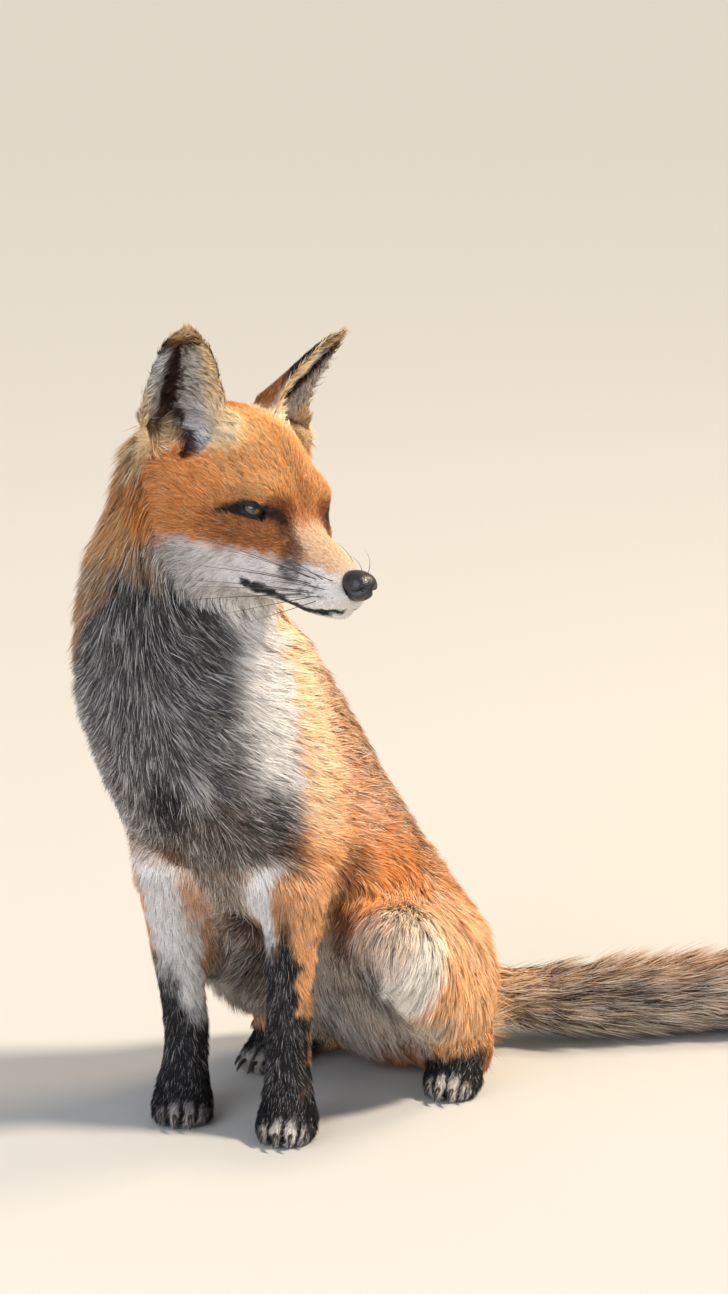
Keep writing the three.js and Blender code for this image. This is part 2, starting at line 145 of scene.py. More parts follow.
flesh = [name for name in frame["nodes"] if not name.startswith(("eye", "nose"))]
bpy.ops.object.select_all(action="DESELECT")
for name in flesh:
    frame["nodes"][name].select_set(True)
bpy.context.view_layer.objects.active = frame["nodes"]["chest"]
bpy.ops.object.duplicate()
bpy.ops.object.join()
skin = bpy.context.active_object
skin.name = "skin"
skin.data.name = "skin"
del skin["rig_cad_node"]
skin.data.materials.clear()
bpy.ops.object.mode_set(mode="EDIT")
bpy.ops.mesh.select_all(action="SELECT")
bpy.ops.mesh.remove_doubles(threshold=1e-6)
bpy.ops.object.mode_set(mode="OBJECT")


def points_of(mesh, what="vertices", value="co"):
    """A mesh's points, or its normals, as an array with a row for each."""
    found = np.empty(len(getattr(mesh, what)) * 3, np.float32)
    getattr(mesh, what).foreach_get(value, found)
    return found.reshape(-1, 3).astype(float)


def move_points(mesh, points):
    """Puts a mesh's points at other places."""
    mesh.vertices.foreach_set("co", points.astype(np.float32).ravel())
    mesh.update()


move_points(skin.data, points_of(skin.data) + points_of(skin.data, "vertex_normals", "vector") * GROWTH)
remesh = skin.modifiers.new("one skin", "REMESH")
remesh.mode = "VOXEL"
remesh.voxel_size = VOXEL
bpy.ops.object.modifier_apply(modifier=remesh.name)


def rise(x, low, high):
    """0 below low, 1 above high and smooth between. With low above high it falls."""
    t = np.clip((x - low) / (high - low), 0, 1)
    return t * t * (3 - 2 * t)


def inside(points, centre, radii, soft=0.35):
    """1 inside an ellipsoid, 0 outside it, with an edge `soft` of its size wide."""
    r = np.linalg.norm((points - np.array(centre)) / np.array(radii), axis=-1)
    return 1 - rise(r, 1 - soft / 2, 1 + soft / 2)


def near_line(points, line):
    """Distance from a line through points, and how far along it the nearest place is, from 0 to 1."""
    line = np.array(line, float)
    best = np.full(len(points), 1e9)
    along = np.zeros(len(points))
    count = len(line) - 1
    for i in range(count):
        a, step = line[i], line[i + 1] - line[i]
        t = np.clip((points - a) @ step / (step @ step), 0, 1)
        d = np.linalg.norm(points - a - t[:, None] * step, axis=1)
        closer = d < best
        best[closer] = d[closer]
        along[closer] = (i + t[closer]) / count
    return best, along


# The middle lines of the tail and of each ear and limb, the way that each ear opens, and the way across it
# to its front rim.
TAIL_LINE = [(4, 262, 56), (28, 286, 40), (90, 330, 32), (166, 392, 32), (240, 440, 30), (320, 470, 24)]
EAR_LINES = {s: [(-64, s * 40, 30), (-58, s * 52, 66), (-52, s * 63, 101)] for s in (-1, 1)}
EAR_OPENS = {s: np.array((0.88, s * 0.47, 0)) for s in (-1, 1)}
EAR_ACROSS = {s: s * np.cross(EAR_OPENS[s], (0.16, s * 0.3, 0.94)) for s in (-1, 1)}
FORELEGS = {
    1: [(4, 66, 200), (6, 52, 58), (12, 38, 20), (23, 14, 8)],
    -1: [(-93, 54, 200), (-76, 52, 58), (-70, 38, 20), (-58, 15, 8)],
}
HINDFEET = {1: [(55, 232, 14), (75, 154, 8)], -1: [(-66, 236, 14), (-79, 142, 8)]}


def regions(points, normals):
    """How much each point belongs to each region of the coat, from 0 to 1. The shares add up to 1."""
    b, h = in_body(points), in_head(points)
    facing = normals @ head_axes
    share = {}
    left = np.ones(len(points))

    def take(name, amount):
        nonlocal left
        share[name] = left * np.clip(amount, 0, 1)
        left = left - share[name]

    ear, ear_in = np.zeros(len(points)), np.zeros(len(points))
    for s in (-1, 1):
        d, t = near_line(h, EAR_LINES[s])
        behind = facing @ EAR_OPENS[s]
        shell = (1 - rise(d, 34, 38)) * rise(t, 0.02, 0.16) * rise(h @ EAR_OPENS[s], -92, -84)
        cup = inside(h, (-62, s * 43, 38), (21, 19, 30), 0.2) * rise(h[:, 2], 12, 20)
        ear_in = np.maximum(ear_in, np.maximum(shell, cup) * rise(behind, 0.0, 0.35))
        ear = np.maximum(ear, shell)
    take("ear_in", ear_in)
    take("ear", ear)
    take("muzzle", rise(h[:, 0], 18, 40) * rise(h[:, 2], -70, -58))
    take("face", rise(h[:, 0] * 0.87 + h[:, 2] * 0.49, -72, -40) * rise(h[:, 2], -72, -52))
    tail_d, tail_t = near_line(b, TAIL_LINE)
    take("tail", (1 - rise(tail_d, 44, 60)) * rise(tail_t, 0.05, 0.16))
    paw = np.zeros(len(points))
    leg = np.zeros(len(points))
    for s in (-1, 1):
        d, t = near_line(b, FORELEGS[s])
        close = 1 - rise(d, 30, 44)
        paw = np.maximum(paw, close * rise(b[:, 2], 46, 26))
        leg = np.maximum(leg, close * rise(b[:, 2], 205, 165))
        d, t = near_line(b, HINDFEET[s])
        paw = np.maximum(paw, (1 - rise(d, 26, 36)) * rise(b[:, 2], 44, 30) * rise(b[:, 1], 236, 212))
    take("paw", paw)
    take("leg", leg)
    take("thigh", rise(np.abs(b[:, 0] + 4), 22, 40) * rise(b[:, 2], 190, 150))
    take("neck", rise(b[:, 2], 300, 350))
    take("trunk", 1)
    return share


# Per region: the depth of the coat in mm, and how many rounds of smoothing take the solids' edges off.
COAT_DEPTH = dict(
    ear_in=0.3, ear=0.5, muzzle=0.9, face=2.2, tail=19, paw=1.2, leg=2.2, thigh=7, neck=14, trunk=10
)
ROUNDS = dict(ear_in=7, ear=7, muzzle=6, face=9, tail=45, paw=5, leg=14, thigh=40, neck=45, trunk=60)


def mixed(share, values):
    """One number for each point, from those of the regions that it belongs to."""
    return sum(share[name] * value for name, value in values.items())


class Smoother:
    """Moves each vertex of a mesh towards the middle of its neighbours."""

    def __init__(self, mesh):
        ends = np.empty(len(mesh.edges) * 2, np.int32)
        mesh.edges.foreach_get("vertices", ends)
        self.a, self.b = ends.reshape(-1, 2).T
        self.size = len(mesh.vertices)
        self.count = np.bincount(ends, minlength=self.size).astype(float)

    def middle(self, values):
        """The mean of a value over each vertex's neighbours."""
        total = np.empty_like(values)
        for axis, v in enumerate(values.T):
            total[:, axis] = np.bincount(self.a, v[self.b], self.size)
            total[:, axis] += np.bincount(self.b, v[self.a], self.size)
        return total / self.count[:, None]


smoother = Smoother(skin.data)
skin_points = points_of(skin.data)
share = regions(skin_points, points_of(skin.data, "vertex_normals", "vector"))
rounds = mixed(share, ROUNDS)
for i in range(int(rounds.max())):
    amount = np.clip(rounds - i, 0, 1)[:, None] * 0.5
    skin_points += (smoother.middle(skin_points) - skin_points) * amount

# The skin is drawn in a step at a time, and smoothed more where the coat is deep. Round the eyes the hair
# is short, so it stays near the outline.
SHRINK_STEPS = 10
FLOOR_GAP = 0.0004
from_eye = np.linalg.norm(np.abs(in_head(skin_points)) - (0, 25, 0), axis=1)
near_eyes = rise(from_eye, 28, 15)
depth = (mixed(share, COAT_DEPTH) * (1 - 0.8 * near_eyes) + GROWTH * 1000) / 1000
smoothing = depth * 60
for _ in range(SHRINK_STEPS):
    move_points(skin.data, skin_points)
    normals = points_of(skin.data, "vertex_normals", "vector")
    for _ in range(8):
        normals += (smoother.middle(normals) - normals) * np.clip(smoothing, 0, 0.5)[:, None]
    normals /= np.linalg.norm(normals, axis=1)[:, None]
    skin_points -= normals * depth[:, None] / SHRINK_STEPS
    for _ in range(3):
        amount = np.clip(smoothing - 0.15, 0, 0.5)[:, None]
        skin_points += (smoother.middle(skin_points) - skin_points) * amount
skin_points[:, 2] = np.maximum(skin_points[:, 2], FLOOR_GAP)

# The mouth is a crease from its corners round under the nose, and the lips turn into it.
LIP_CREASE = 0.0016
LIP_LINE = [(3, 29, -46.4), (13, 27, -45.8), (19.4, 23.7, -46.5), (24, 17, -50), (29, 11.5, -52.8)]
LIP_LINE += [(37, 8.8, -53.2), (49, 9.2, -50.9), (59.5, 10, -47.8)]
LIP_LINE += [(67, 8, -45.5), (71.5, 3.2, -43.8), (72, 0, -43)]
PHILTRUM = [(72, 0, -43), (75, 0, -35)]


def from_lips(points):
    """How far points are from the line of the mouth, in the head's millimetres, and how far forward."""
    h = in_head(points)
    h[:, 1] = np.abs(h[:, 1])
    return near_line(h, LIP_LINE)


# Each foot has four toes, with a groove between neighbours. A foot is given by the place of its toes,
# its heading in degrees and its width, and a toe by how far back and out it is, in mm and in widths.
FEET = [((23, 14), 22, 43), ((-58, 15), 30, 43), ((75, 154), 12, 40), ((-79, 142), -10, 40)]
TOE_GROOVE = 0.0022
TOE_GAPS = (-0.245, 0, 0.245)
TOES = ((9, -0.36), (0, -0.125), (0, 0.125), (9, 0.36))


def on_foot(points, toe, heading):
    """Points of the body as distances back from a foot's toes, out to its left and up."""
    a = math.radians(heading)
    off = points - np.array((*toe, 0))
    back = -off[:, 0] * math.sin(a) + off[:, 1] * math.cos(a)
    return back, off[:, 0] * math.cos(a) + off[:, 1] * math.sin(a), off[:, 2]


move_points(skin.data, skin_points)
skin_normals = points_of(skin.data, "vertex_normals", "vector")
for toe, heading, wide in FEET:
    back_off, out, tall = on_foot(in_body(skin_points), toe, heading)
    for gap in TOE_GAPS:
        groove = np.exp(-(((out - gap * wide) / 2) ** 2)) * rise(back_off, 34, 22) * rise(tall, 26, 20)
        skin_points -= skin_normals * (TOE_GROOVE * groove * (back_off > -14))[:, None]
move_points(skin.data, skin_points)
skin_normals = points_of(skin.data, "vertex_normals", "vector")
lip_gap, lip_along = from_lips(skin_points)
skin_points -= skin_normals * (LIP_CREASE * np.exp(-((lip_gap / 1.9) ** 2)))[:, None]
move_points(skin.data, skin_points)
bpy.ops.object.shade_smooth()
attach(skin, "root")
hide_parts(*flesh)


def linear(code):
    """An sRGB hex colour as linear numbers."""
    values = [int(code[i : i + 2], 16) / 255 for i in (1, 3, 5)]
    return np.array([v / 12.92 if v < 0.04045 else ((v + 0.055) / 1.055) ** 2.4 for v in values])


def add(material, kind, inputs=None, **settings):
    """Adds a shader node. Its inputs are values, or (node, output) pairs that are linked to it."""
    node = material.node_tree.nodes.new(kind)
    for name, value in settings.items():
        setattr(node, name, value)
    for name, value in (inputs or {}).items():
        if isinstance(value, tuple) and isinstance(value[0], bpy.types.Node):
            material.node_tree.links.new(value[0].outputs[value[1]], node.inputs[name])
        else:
            node.inputs[name].default_value = value
    return node


def new_material(name):
    """A material and its shader."""
    material = bpy.data.materials.new(name)
    material.use_nodes = True
    return material, material.node_tree.nodes["Principled BSDF"]


def join(material, node, output, shader, socket):
    """Links a node's output to a socket of the shader."""
    material.node_tree.links.new(node.outputs[output], shader.inputs[socket])


# ---- Eyelids ----
# Two folds of bare black skin that slide over the eyeball. Each pair is drawn as rings that start on the
# eyeball at the edge of the slit, turn over the lid's margin and run out onto the face.
EYE_RADIUS = 9.6 / HEAD_SCALE
EYES_APART = 50
EYE_SINK = 4.6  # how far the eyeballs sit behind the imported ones
LID_TILT = 0.13  # how much the slit drops towards its inner corner
LID_RINGS = [  # half the width and height of each ring, its height over the eyeball, and its share of face
    (6.9, 2.05, 0.1, 0),
    (7.0, 2.25, 0.5, 0),
    (7.2, 2.6, 0.85, 0.05),
    (7.6, 3.2, 1.0, 0.2),
    (8.1, 4.1, 0.95, 0.5),
    (8.8, 5.1, 0.7, 0.85),
    (9.8, 6.0, 0.25, 1),
    (10.6, 6.8, -1.0, 1),
]
LID_STEPS = 56


def eye_axes(s):
    """The way the eye on side s (-1 right, 1 left) looks, the way to its inner corner, and up."""
    looks = np.array((0.72, s * 0.69, 0.02))
    looks /= np.linalg.norm(looks)
    inner = np.cross((0, 0, 1), looks) * -s
    inner /= np.linalg.norm(inner)
    return looks, inner, np.cross(looks, inner) * -s


def eye_centre(s):
    """The middle of the eyeball on side s, in the head's millimetres."""
    return np.array((BETWEEN_EYES[0], s * EYES_APART / 2, 0)) - eye_axes(s)[0] * EYE_SINK


def off_eye(points, s):
    """Where points of the head are from the eyeball's middle: to the inner corner, up and outward."""
    looks, inner, rises = eye_axes(s)
    off = points - eye_centre(s)
    return off @ inner, off @ rises + LID_TILT * (off @ inner) + 0.8, off @ looks


# The sockets are first closed over by smoothing, so that the lids can lie on an unbroken face. In the last
# rounds the eyeballs hold it out.
CLOSING_ROUNDS, HELD_FROM = 180, 120
skin_points = points_of(skin.data)
over_eyes = np.zeros(len(skin_points))
for s in (-1, 1):
    sideways, upward, outward = off_eye(in_head(skin_points), s)
    over_eyes += rise(np.hypot(sideways, upward), 12.5, 10) * (outward > 0) * (outward < 20)
for turn in range(CLOSING_ROUNDS):
    skin_points += (smoother.middle(skin_points) - skin_points) * (over_eyes * 0.9)[:, None]
    if turn > HELD_FROM:
        head_points = in_head(skin_points)
        for s in (-1, 1):
            sideways, upward, outward = off_eye(head_points, s)
            bulge = np.sqrt(np.maximum(EYE_RADIUS**2 - sideways**2 - upward**2, 0)) + 1.0
            low = (outward > 0) & (outward < bulge) & (bulge > 2)
            head_points = head_points + eye_axes(s)[0] * np.where(low, bulge - outward, 0)[:, None]
        skin_points = from_head(head_points)
move_points(skin.data, skin_points)
face_shell = BVHTree.FromObject(skin, bpy.context.evaluated_depsgraph_get())


def eyelids(s):
    """The pair of lids on side s."""
    centre = eye_centre(s)
    looks, inner, rises = eye_axes(s)
    rings = []
    for wide, tall, lift, face in LID_RINGS:
        ring = []
        for i in range(LID_STEPS):
            a = 2 * math.pi * i / LID_STEPS
            x = wide * math.cos(a)
            y = tall * math.copysign(abs(math.sin(a)) ** 1.3, math.sin(a)) - LID_TILT * x - 0.8
            across = centre + inner * x + rises * y
            on_ball = math.sqrt(max(EYE_RADIUS**2 - x * x - y * y, 4)) + lift
            hit = face_shell.ray_cast(Vector(from_head(across + looks * 30)), Vector(head_axes @ -looks))[0]
            on_face = (in_head(np.array(hit)[None])[0] - centre) @ looks + min(lift, 0)
            lid = on_ball + (on_face - on_ball) * face
            ring.append(across + looks * (max(lid, on_ball - lift + 0.7) if face > 0 and lift > 0 else lid))
        rings.append(ring)
    mesh = bpy.data.meshes.new("eyelids")
    points = from_head(np.array(rings).reshape(-1, 3))
    faces = []
    for row in range(len(rings) - 1):
        for i in range(LID_STEPS):
            j = (i + 1) % LID_STEPS
            a, b = row * LID_STEPS + i, row * LID_STEPS + j
            quad = [a, b, b + LID_STEPS, a + LID_STEPS]
            faces.append(quad[::-1] if s < 0 else quad)
    mesh.from_pydata(points.tolist(), [], faces)
    piece = bpy.data.objects.new("eyelids_" + ("right" if s < 0 else "left"), mesh)
    bpy.context.scene.collection.objects.link(piece)
    mesh.polygons.foreach_set("use_smooth", [True] * len(faces))
    mesh.materials.append(lid_skin)
    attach(piece, "root")


# Black, slightly moist bare skin, with fine creases along the margin.
lid_skin, shader = new_material("black eyelid skin")
place = add(lid_skin, "ShaderNodeTexCoord")
creases = add(lid_skin, "ShaderNodeTexNoise", {"Vector": (place, "Object"), "Scale": 900, "Detail": 3})
tones = add(lid_skin, "ShaderNodeValToRGB", {"Fac": (creases, "Fac")})
tones.color_ramp.elements[0].color = (*linear("#0c0a09"), 1)
tones.color_ramp.elements[1].color = (*linear("#211712"), 1)
join(lid_skin, tones, "Color", shader, "Base Color")
bump = add(lid_skin, "ShaderNodeBump", {"Height": (creases, "Fac"), "Strength": 0.4, "Distance": 0.0004})
join(lid_skin, bump, "Normal", shader, "Normal")
shader.inputs["Roughness"].default_value = 0.55
shader.inputs["Specular IOR Level"].default_value = 0.3
for s in (-1, 1):
    eyelids(s)

# The skin under the slit is pushed back behind the eyeball.
for s in (-1, 1):
    head_points = in_head(skin_points)
    sideways, upward, outward = off_eye(head_points, s)
    in_slit = rise(np.hypot(sideways / 8.4, upward / 4.3), 1.1, 0.8) * (outward > 0) * (outward < 20)
    behind = np.sqrt(np.maximum(EYE_RADIUS**2 - sideways**2 - upward**2, 4)) - 1.2
    drop = np.minimum(behind - outward, 0) * in_slit
    skin_points = from_head(head_points + eye_axes(s)[0] * drop[:, None])
move_points(skin.data, skin_points)

# ---- Eyeballs ----
# Glass-like balls behind the lids, turned to look where the head does, each with a low clear dome. A wet
# cornea lies over an amber-brown iris with the upright slit pupil of a fox. The ball's own map gives the
# angle from its front as V, and U runs round it.
PUPIL = (8.0, 24.0)  # half its width and height, in degrees
BALL_RADIUS = EYE_RADIUS * HEAD_SCALE / 1000
CORNEA = 0.0004  # how far the dome stands out
eye_wet, shader = new_material("wet amber eye")
ball_map = add(eye_wet, "ShaderNodeUVMap", uv_map="UVMap")
uv = add(eye_wet, "ShaderNodeSeparateXYZ", {"Vector": (ball_map, "UV")})
inputs = {0: (uv, "Y"), 1: -180.0, 2: 180.0}
from_front = add(eye_wet, "ShaderNodeMath", inputs, operation="MULTIPLY_ADD"), "Value"  # degrees
round_front = add(eye_wet, "ShaderNodeMath", {0: (uv, "X"), 1: 2 * math.pi}, operation="MULTIPLY"), "Value"
squares = []
for turned_as, size in zip(("COSINE", "SINE"), PUPIL):
    part = add(eye_wet, "ShaderNodeMath", {0: round_front}, operation=turned_as), "Value"
    part = add(eye_wet, "ShaderNodeMath", {0: from_front, 1: part}, operation="MULTIPLY"), "Value"
    part = add(eye_wet, "ShaderNodeMath", {0: part, 1: size}, operation="DIVIDE"), "Value"
    squares.append((add(eye_wet, "ShaderNodeMath", {0: part, 1: part}, operation="MULTIPLY"), "Value"))
slit = add(eye_wet, "ShaderNodeMath", {0: squares[0], 1: squares[1]}, operation="ADD"), "Value"
slit = add(eye_wet, "ShaderNodeMath", {0: slit}, operation="SQRT"), "Value"
place = add(eye_wet, "ShaderNodeTexCoord")
fibres = add(eye_wet, "ShaderNodeTexNoise", {"Vector": (place, "Object"), "Scale": 1500, "Detail": 4})
iris = add(eye_wet, "ShaderNodeValToRGB", {"Fac": (fibres, "Fac")})
iris.color_ramp.elements[0].color = (*linear("#2c1d0d"), 1)
iris.color_ramp.elements[1].color = (*linear("#6a4c22"), 1)
edge = add(eye_wet, "ShaderNodeMapRange", {"Value": from_front, "From Min": 36.0, "From Max": 42.0})
inputs = {"Factor": (edge, "Result"), "A": (iris, "Color")}
dark_ring = add(eye_wet, "ShaderNodeMix", inputs, data_type="RGBA")
dark_ring.inputs["B"].default_value = (*linear("#1a1210"), 1)
hole = add(eye_wet, "ShaderNodeMapRange", {"Value": slit, "From Min": 1.15, "From Max": 0.9})
whole = add(eye_wet, "ShaderNodeMix", {"Factor": (hole, "Result")}, data_type="RGBA")
eye_wet.node_tree.links.new(dark_ring.outputs["Result"], whole.inputs["A"])
whole.inputs["B"].default_value = (0.002, 0.002, 0.002, 1)
join(eye_wet, whole, "Result", shader, "Base Color")
shader.inputs["Roughness"].default_value = 0.08
shader.inputs["Coat Weight"].default_value = 1.0
shader.inputs["Coat Roughness"].default_value = 0.03
for s, name in ((-1, "right"), (1, "left")):
    bpy.ops.object.select_all(action="DESELECT")
    bpy.ops.mesh.primitive_uv_sphere_add(segments=64, ring_count=32, radius=BALL_RADIUS)
    ball = bpy.context.active_object
    ball.name = ball.data.name = "eyeball_" + name
    looks, inner, rises = eye_axes(s)
    points = points_of(ball.data)
    dome = rise(points[:, 2] / BALL_RADIUS, 0.75, 1) * CORNEA
    points *= (1 + dome / BALL_RADIUS)[:, None]
    gaze = np.stack((inner * -s, rises, looks), axis=1)
    points = points @ (head_axes @ gaze).T + from_head(eye_centre(s))
    move_points(ball.data, points)
    bpy.ops.object.shade_smooth()
    ball.data.materials.append(eye_wet)
    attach(ball, "root")
    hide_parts("eye_" + name)

# ---- Nose leather ----
# The bare black tip of the muzzle, blunt in front, with comma nostrils that run out to its sides and a
# groove down its middle to the lip.
NOSE_CENTRE, NOSE_SIZE = np.array((73.5, 0, -26.5)), np.array((11, 9.8, 9.2))
bpy.ops.object.select_all(action="DESELECT")
bpy.ops.mesh.primitive_uv_sphere_add(segments=144, ring_count=96, radius=1)
nose = bpy.context.active_object
nose.name = nose.data.name = "nose_leather"
ball = points_of(nose.data)
way = ball / np.linalg.norm(ball, axis=1)[:, None]
blunt = (np.abs(way) ** 2.5).sum(axis=1) ** (-1 / 2.5)
shape = way * blunt[:, None]
shape[:, 1] *= 1 - 0.26 * rise(-shape[:, 2], -0.1, 0.9)  # narrower under the nostrils
shape[:, 0] -= 0.16 * rise(-shape[:, 2], 0.1, 1.0) * (shape[:, 0] > 0)
points = NOSE_CENTRE + shape * NOSE_SIZE
folded = points.copy()
folded[:, 1] = np.abs(folded[:, 1])
NOSTRIL = [(83, 4.6, -26.5), (81.5, 6.8, -28.6), (77, 9.6, -29.6), (73, 10.0, -29.0)]
gap, along = near_line(folded, NOSTRIL)
wide_open = 2.1 - 1.25 * rise(along, 0.15, 0.75)
hollow = np.exp(-((gap / wide_open) ** 2)) * (1 - 0.55 * along)
points -= way * np.array((3.4, 2.4, 2.4)) * hollow[:, None]
rim = np.exp(-(((gap - 3.1) / 1.3) ** 2)) * rise(folded[:, 2], -32, -27) * (1 - along)
points += way * 0.5 * rim[:, None]
groove = np.exp(-((points[:, 1] / 0.7) ** 2)) * rise(points[:, 0], 76, 80) * rise(points[:, 2], -22, -28)
points[:, 0] -= 1.3 * groove
move_points(nose.data, from_head(points))
bpy.ops.object.shade_smooth()

# Moist black leather in small raised plates about a millimetre across, greyer in their middles.
leather, shader = new_material("black nose leather")
place = add(leather, "ShaderNodeTexCoord")
plates = add(leather, "ShaderNodeTexVoronoi", {"Vector": (place, "Object"), "Scale": 950})
tones = add(leather, "ShaderNodeValToRGB", {"Fac": (plates, "Distance")})
tones.color_ramp.elements[0].color = (*linear("#25252a"), 1)
tones.color_ramp.elements[1].color = (*linear("#0d0d10"), 1)
join(leather, tones, "Color", shader, "Base Color")
bump = add(leather, "ShaderNodeBump", {"Height": (plates, "Distance"), "Strength": 0.55, "Distance": 0.0005})
bump.invert = True
join(leather, bump, "Normal", shader, "Normal")
shader.inputs["Roughness"].default_value = 0.34
shader.inputs["Coat Weight"].default_value = 0.25
nose.data.materials.append(leather)
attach(nose, "root")
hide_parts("nose")

# ---- Whiskers and claws ----
# Both are drawn as tapering tubes along a bent line. The whiskers stand in four rows on each side of the
# muzzle and sweep back, and each foot has four blunt claws.


def unit(vectors):
    """Each row made one long."""
    return vectors / np.maximum(np.linalg.norm(vectors, axis=1), 1e-9)[:, None]


def horns(name, lines, sides, material):
    """One mesh of tubes, each given by its points and their radii, with the last one drawn to a point."""
    points, faces = [], []
    for line, radii in lines:
        first = len(points)
        line = np.array(line, float)
        ahead = unit(np.gradient(line, axis=0))
        beside = unit(np.cross(ahead, (0.31, 0.2, 0.93)))
        above = np.cross(beside, ahead)
        for i in range(len(line) - 1):
            for k in range(sides):
                a = 2 * math.pi * k / sides
                points.append(line[i] + radii[i] * (beside[i] * math.cos(a) + above[i] * math.sin(a)))
        points.append(line[-1])
        for i in range(len(line) - 2):
            for k in range(sides):
                a, b = first + i * sides + k, first + i * sides + (k + 1) % sides
                faces.append((a, b, b + sides, a + sides)[::-1])
        last = first + (len(line) - 2) * sides
        for k in range(sides):
            faces.append((last + (k + 1) % sides, last + k, len(points) - 1))
        faces.append([first + k for k in range(sides)])
    mesh = bpy.data.meshes.new(name)
    mesh.from_pydata(np.array(points).tolist(), [], faces)
    mesh.polygons.foreach_set("use_smooth", [True] * len(faces))
    mesh.materials.append(material)
    piece = bpy.data.objects.new(name, mesh)
    bpy.context.scene.collection.objects.link(piece)
    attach(piece, "root")


# Stiff dark hair, paler in places.
bristle, shader = new_material("whisker bristle")
place = add(bristle, "ShaderNodeTexCoord")
grain = add(bristle, "ShaderNodeTexNoise", {"Vector": (place, "Object"), "Scale": 120, "Detail": 2})
tones = add(bristle, "ShaderNodeValToRGB", {"Fac": (grain, "Fac")})
tones.color_ramp.elements[0].color = (*linear("#15110f"), 1)
tones.color_ramp.elements[1].color = (*linear("#4d433d"), 1)
join(bristle, tones, "Color", shader, "Base Color")
shader.inputs["Roughness"].default_value = 0.35

# Where the foremost whisker of each row grows.
WHISKER_ROWS = [(62, 10.5, -28.5), (60, 11, -32.5), (58, 12, -36.5), (55, 12, -40)]
rng = np.random.default_rng(3)
shell = BVHTree.FromObject(skin, bpy.context.evaluated_depsgraph_get())
lines = []
for s in (-1, 1):
    for row, place in enumerate(WHISKER_ROWS):
        for i in range(4):
            spot = np.array(place) - np.array((5.2, -0.7, 0.3)) * i + rng.normal(size=3) * 0.5
            spot[1] *= s
            start = np.array(shell.find_nearest(Vector(from_head(spot)))[0])
            long = (42 + 13 * i + rng.uniform(-6, 6)) / 1000
            out = np.array((-0.5 - 0.2 * i, s * 0.8, 0.3 - 0.22 * row + rng.normal() * 0.06))
            out = head_axes @ (out / np.linalg.norm(out))
            sweep = head_axes @ np.array((-0.9, -s * 0.25, -0.35))
            t = np.linspace(0, 1, 9)[:, None]
            line = start - out * 0.001 + out * long * t + sweep * long * 0.42 * t**2
            lines.append((line, 0.00034 * (1 - 0.85 * t[:, 0])))
horns("whiskers", lines, 5, bristle)

# Dark horn with fine lines along the claw, some of them paler.
horn, shader = new_material("dark claw horn")
place = add(horn, "ShaderNodeTexCoord")
lines_in = add(horn, "ShaderNodeTexNoise", {"Vector": (place, "Object"), "Scale": 700, "Detail": 3})
tones = add(horn, "ShaderNodeValToRGB", {"Fac": (lines_in, "Fac")})
tones.color_ramp.elements[0].color = (*linear("#151211"), 1)
tones.color_ramp.elements[1].color = (*linear("#453c36"), 1)
join(horn, tones, "Color", shader, "Base Color")
bump = add(horn, "ShaderNodeBump", {"Height": (lines_in, "Fac"), "Strength": 0.3, "Distance": 0.0003})
join(horn, bump, "Normal", shader, "Normal")
shader.inputs["Roughness"].default_value = 0.38

CLAW = [(-5, 9.8, 1.7), (0, 10, 1.6), (3.4, 8.6, 1.35), (6, 6, 0.95), (7.6, 3.4, 0)]  # ahead, height, radius
lines = []
for toe, heading, width in FEET:
    ahead = np.array((math.sin(math.radians(heading)), -math.cos(math.radians(heading)), 0))
    beside = np.array((-ahead[1], ahead[0], 0))
    for back, out in TOES:
        base = np.array((*toe, 0)) - ahead * (back + 1.5) + beside * out * width
        line = [from_body(base + (ahead + beside * out * 0.06) * x + (0, 0, z)) for x, z, _ in CLAW]
        lines.append((line, [r / 1000 for _, _, r in CLAW]))
horns("claws", lines, 10, horn)

# ---- Coat: how it lies ----
# Hair runs from the nose over the crown, down the neck, back and legs, and out to the tail's tip. Each
# region has its own length, lift from the skin, width and closeness.
skin_points = points_of(skin.data)
skin_normals = points_of(skin.data, "vertex_normals", "vector")
share = regions(skin_points, skin_normals)
on_head, on_body = in_head(skin_points), in_body(skin_points)
side = np.sign(on_head[:, 1])


def turned(direction):
    """A direction in the head's axes, in the row frame's."""
    return np.asarray(direction) @ head_axes.T


def everywhere(*direction):
    """The same direction at every point of the skin."""
    return np.tile(np.array(direction, float), (len(skin_points), 1))


def along_line(points, line):
    """The direction of the nearest step of a line."""
    line = np.array(line, float)
    best = np.full(len(points), 1e9)
    found = np.zeros((len(points), 3))
    for a, b in zip(line[:-1], line[1:]):
        step = b - a
        t = np.clip((points - a) @ step / (step @ step), 0, 1)
        d = np.linalg.norm(points - a - t[:, None] * step, axis=1)
        found[d < best] = step / np.linalg.norm(step)
        best = np.minimum(best, d)
    return found


# The line down the middle of the neck and trunk, as its height with its x and y.
AXIS_Z = (92, 168, 234, 285, 335, 385, 436)
AXIS_X = (0, -18, -44, -61, -74, -82, -66)
AXIS_Y = (208, 152, 104, 66, 50, 43, 51)


def off_middle(b):
    """How far points of the body are to the left of its middle line, and how far behind it."""
    return b[:, 0] - np.interp(b[:, 2], AXIS_Z, AXIS_X), b[:, 1] - np.interp(b[:, 2], AXIS_Z, AXIS_Y)


def round_body(b):
    """How far round the middle line points are, in degrees: 0 at the breast, 90 at the left flank."""
    leftward, behind = off_middle(b)
    return np.degrees(np.arctan2(leftward, -behind))


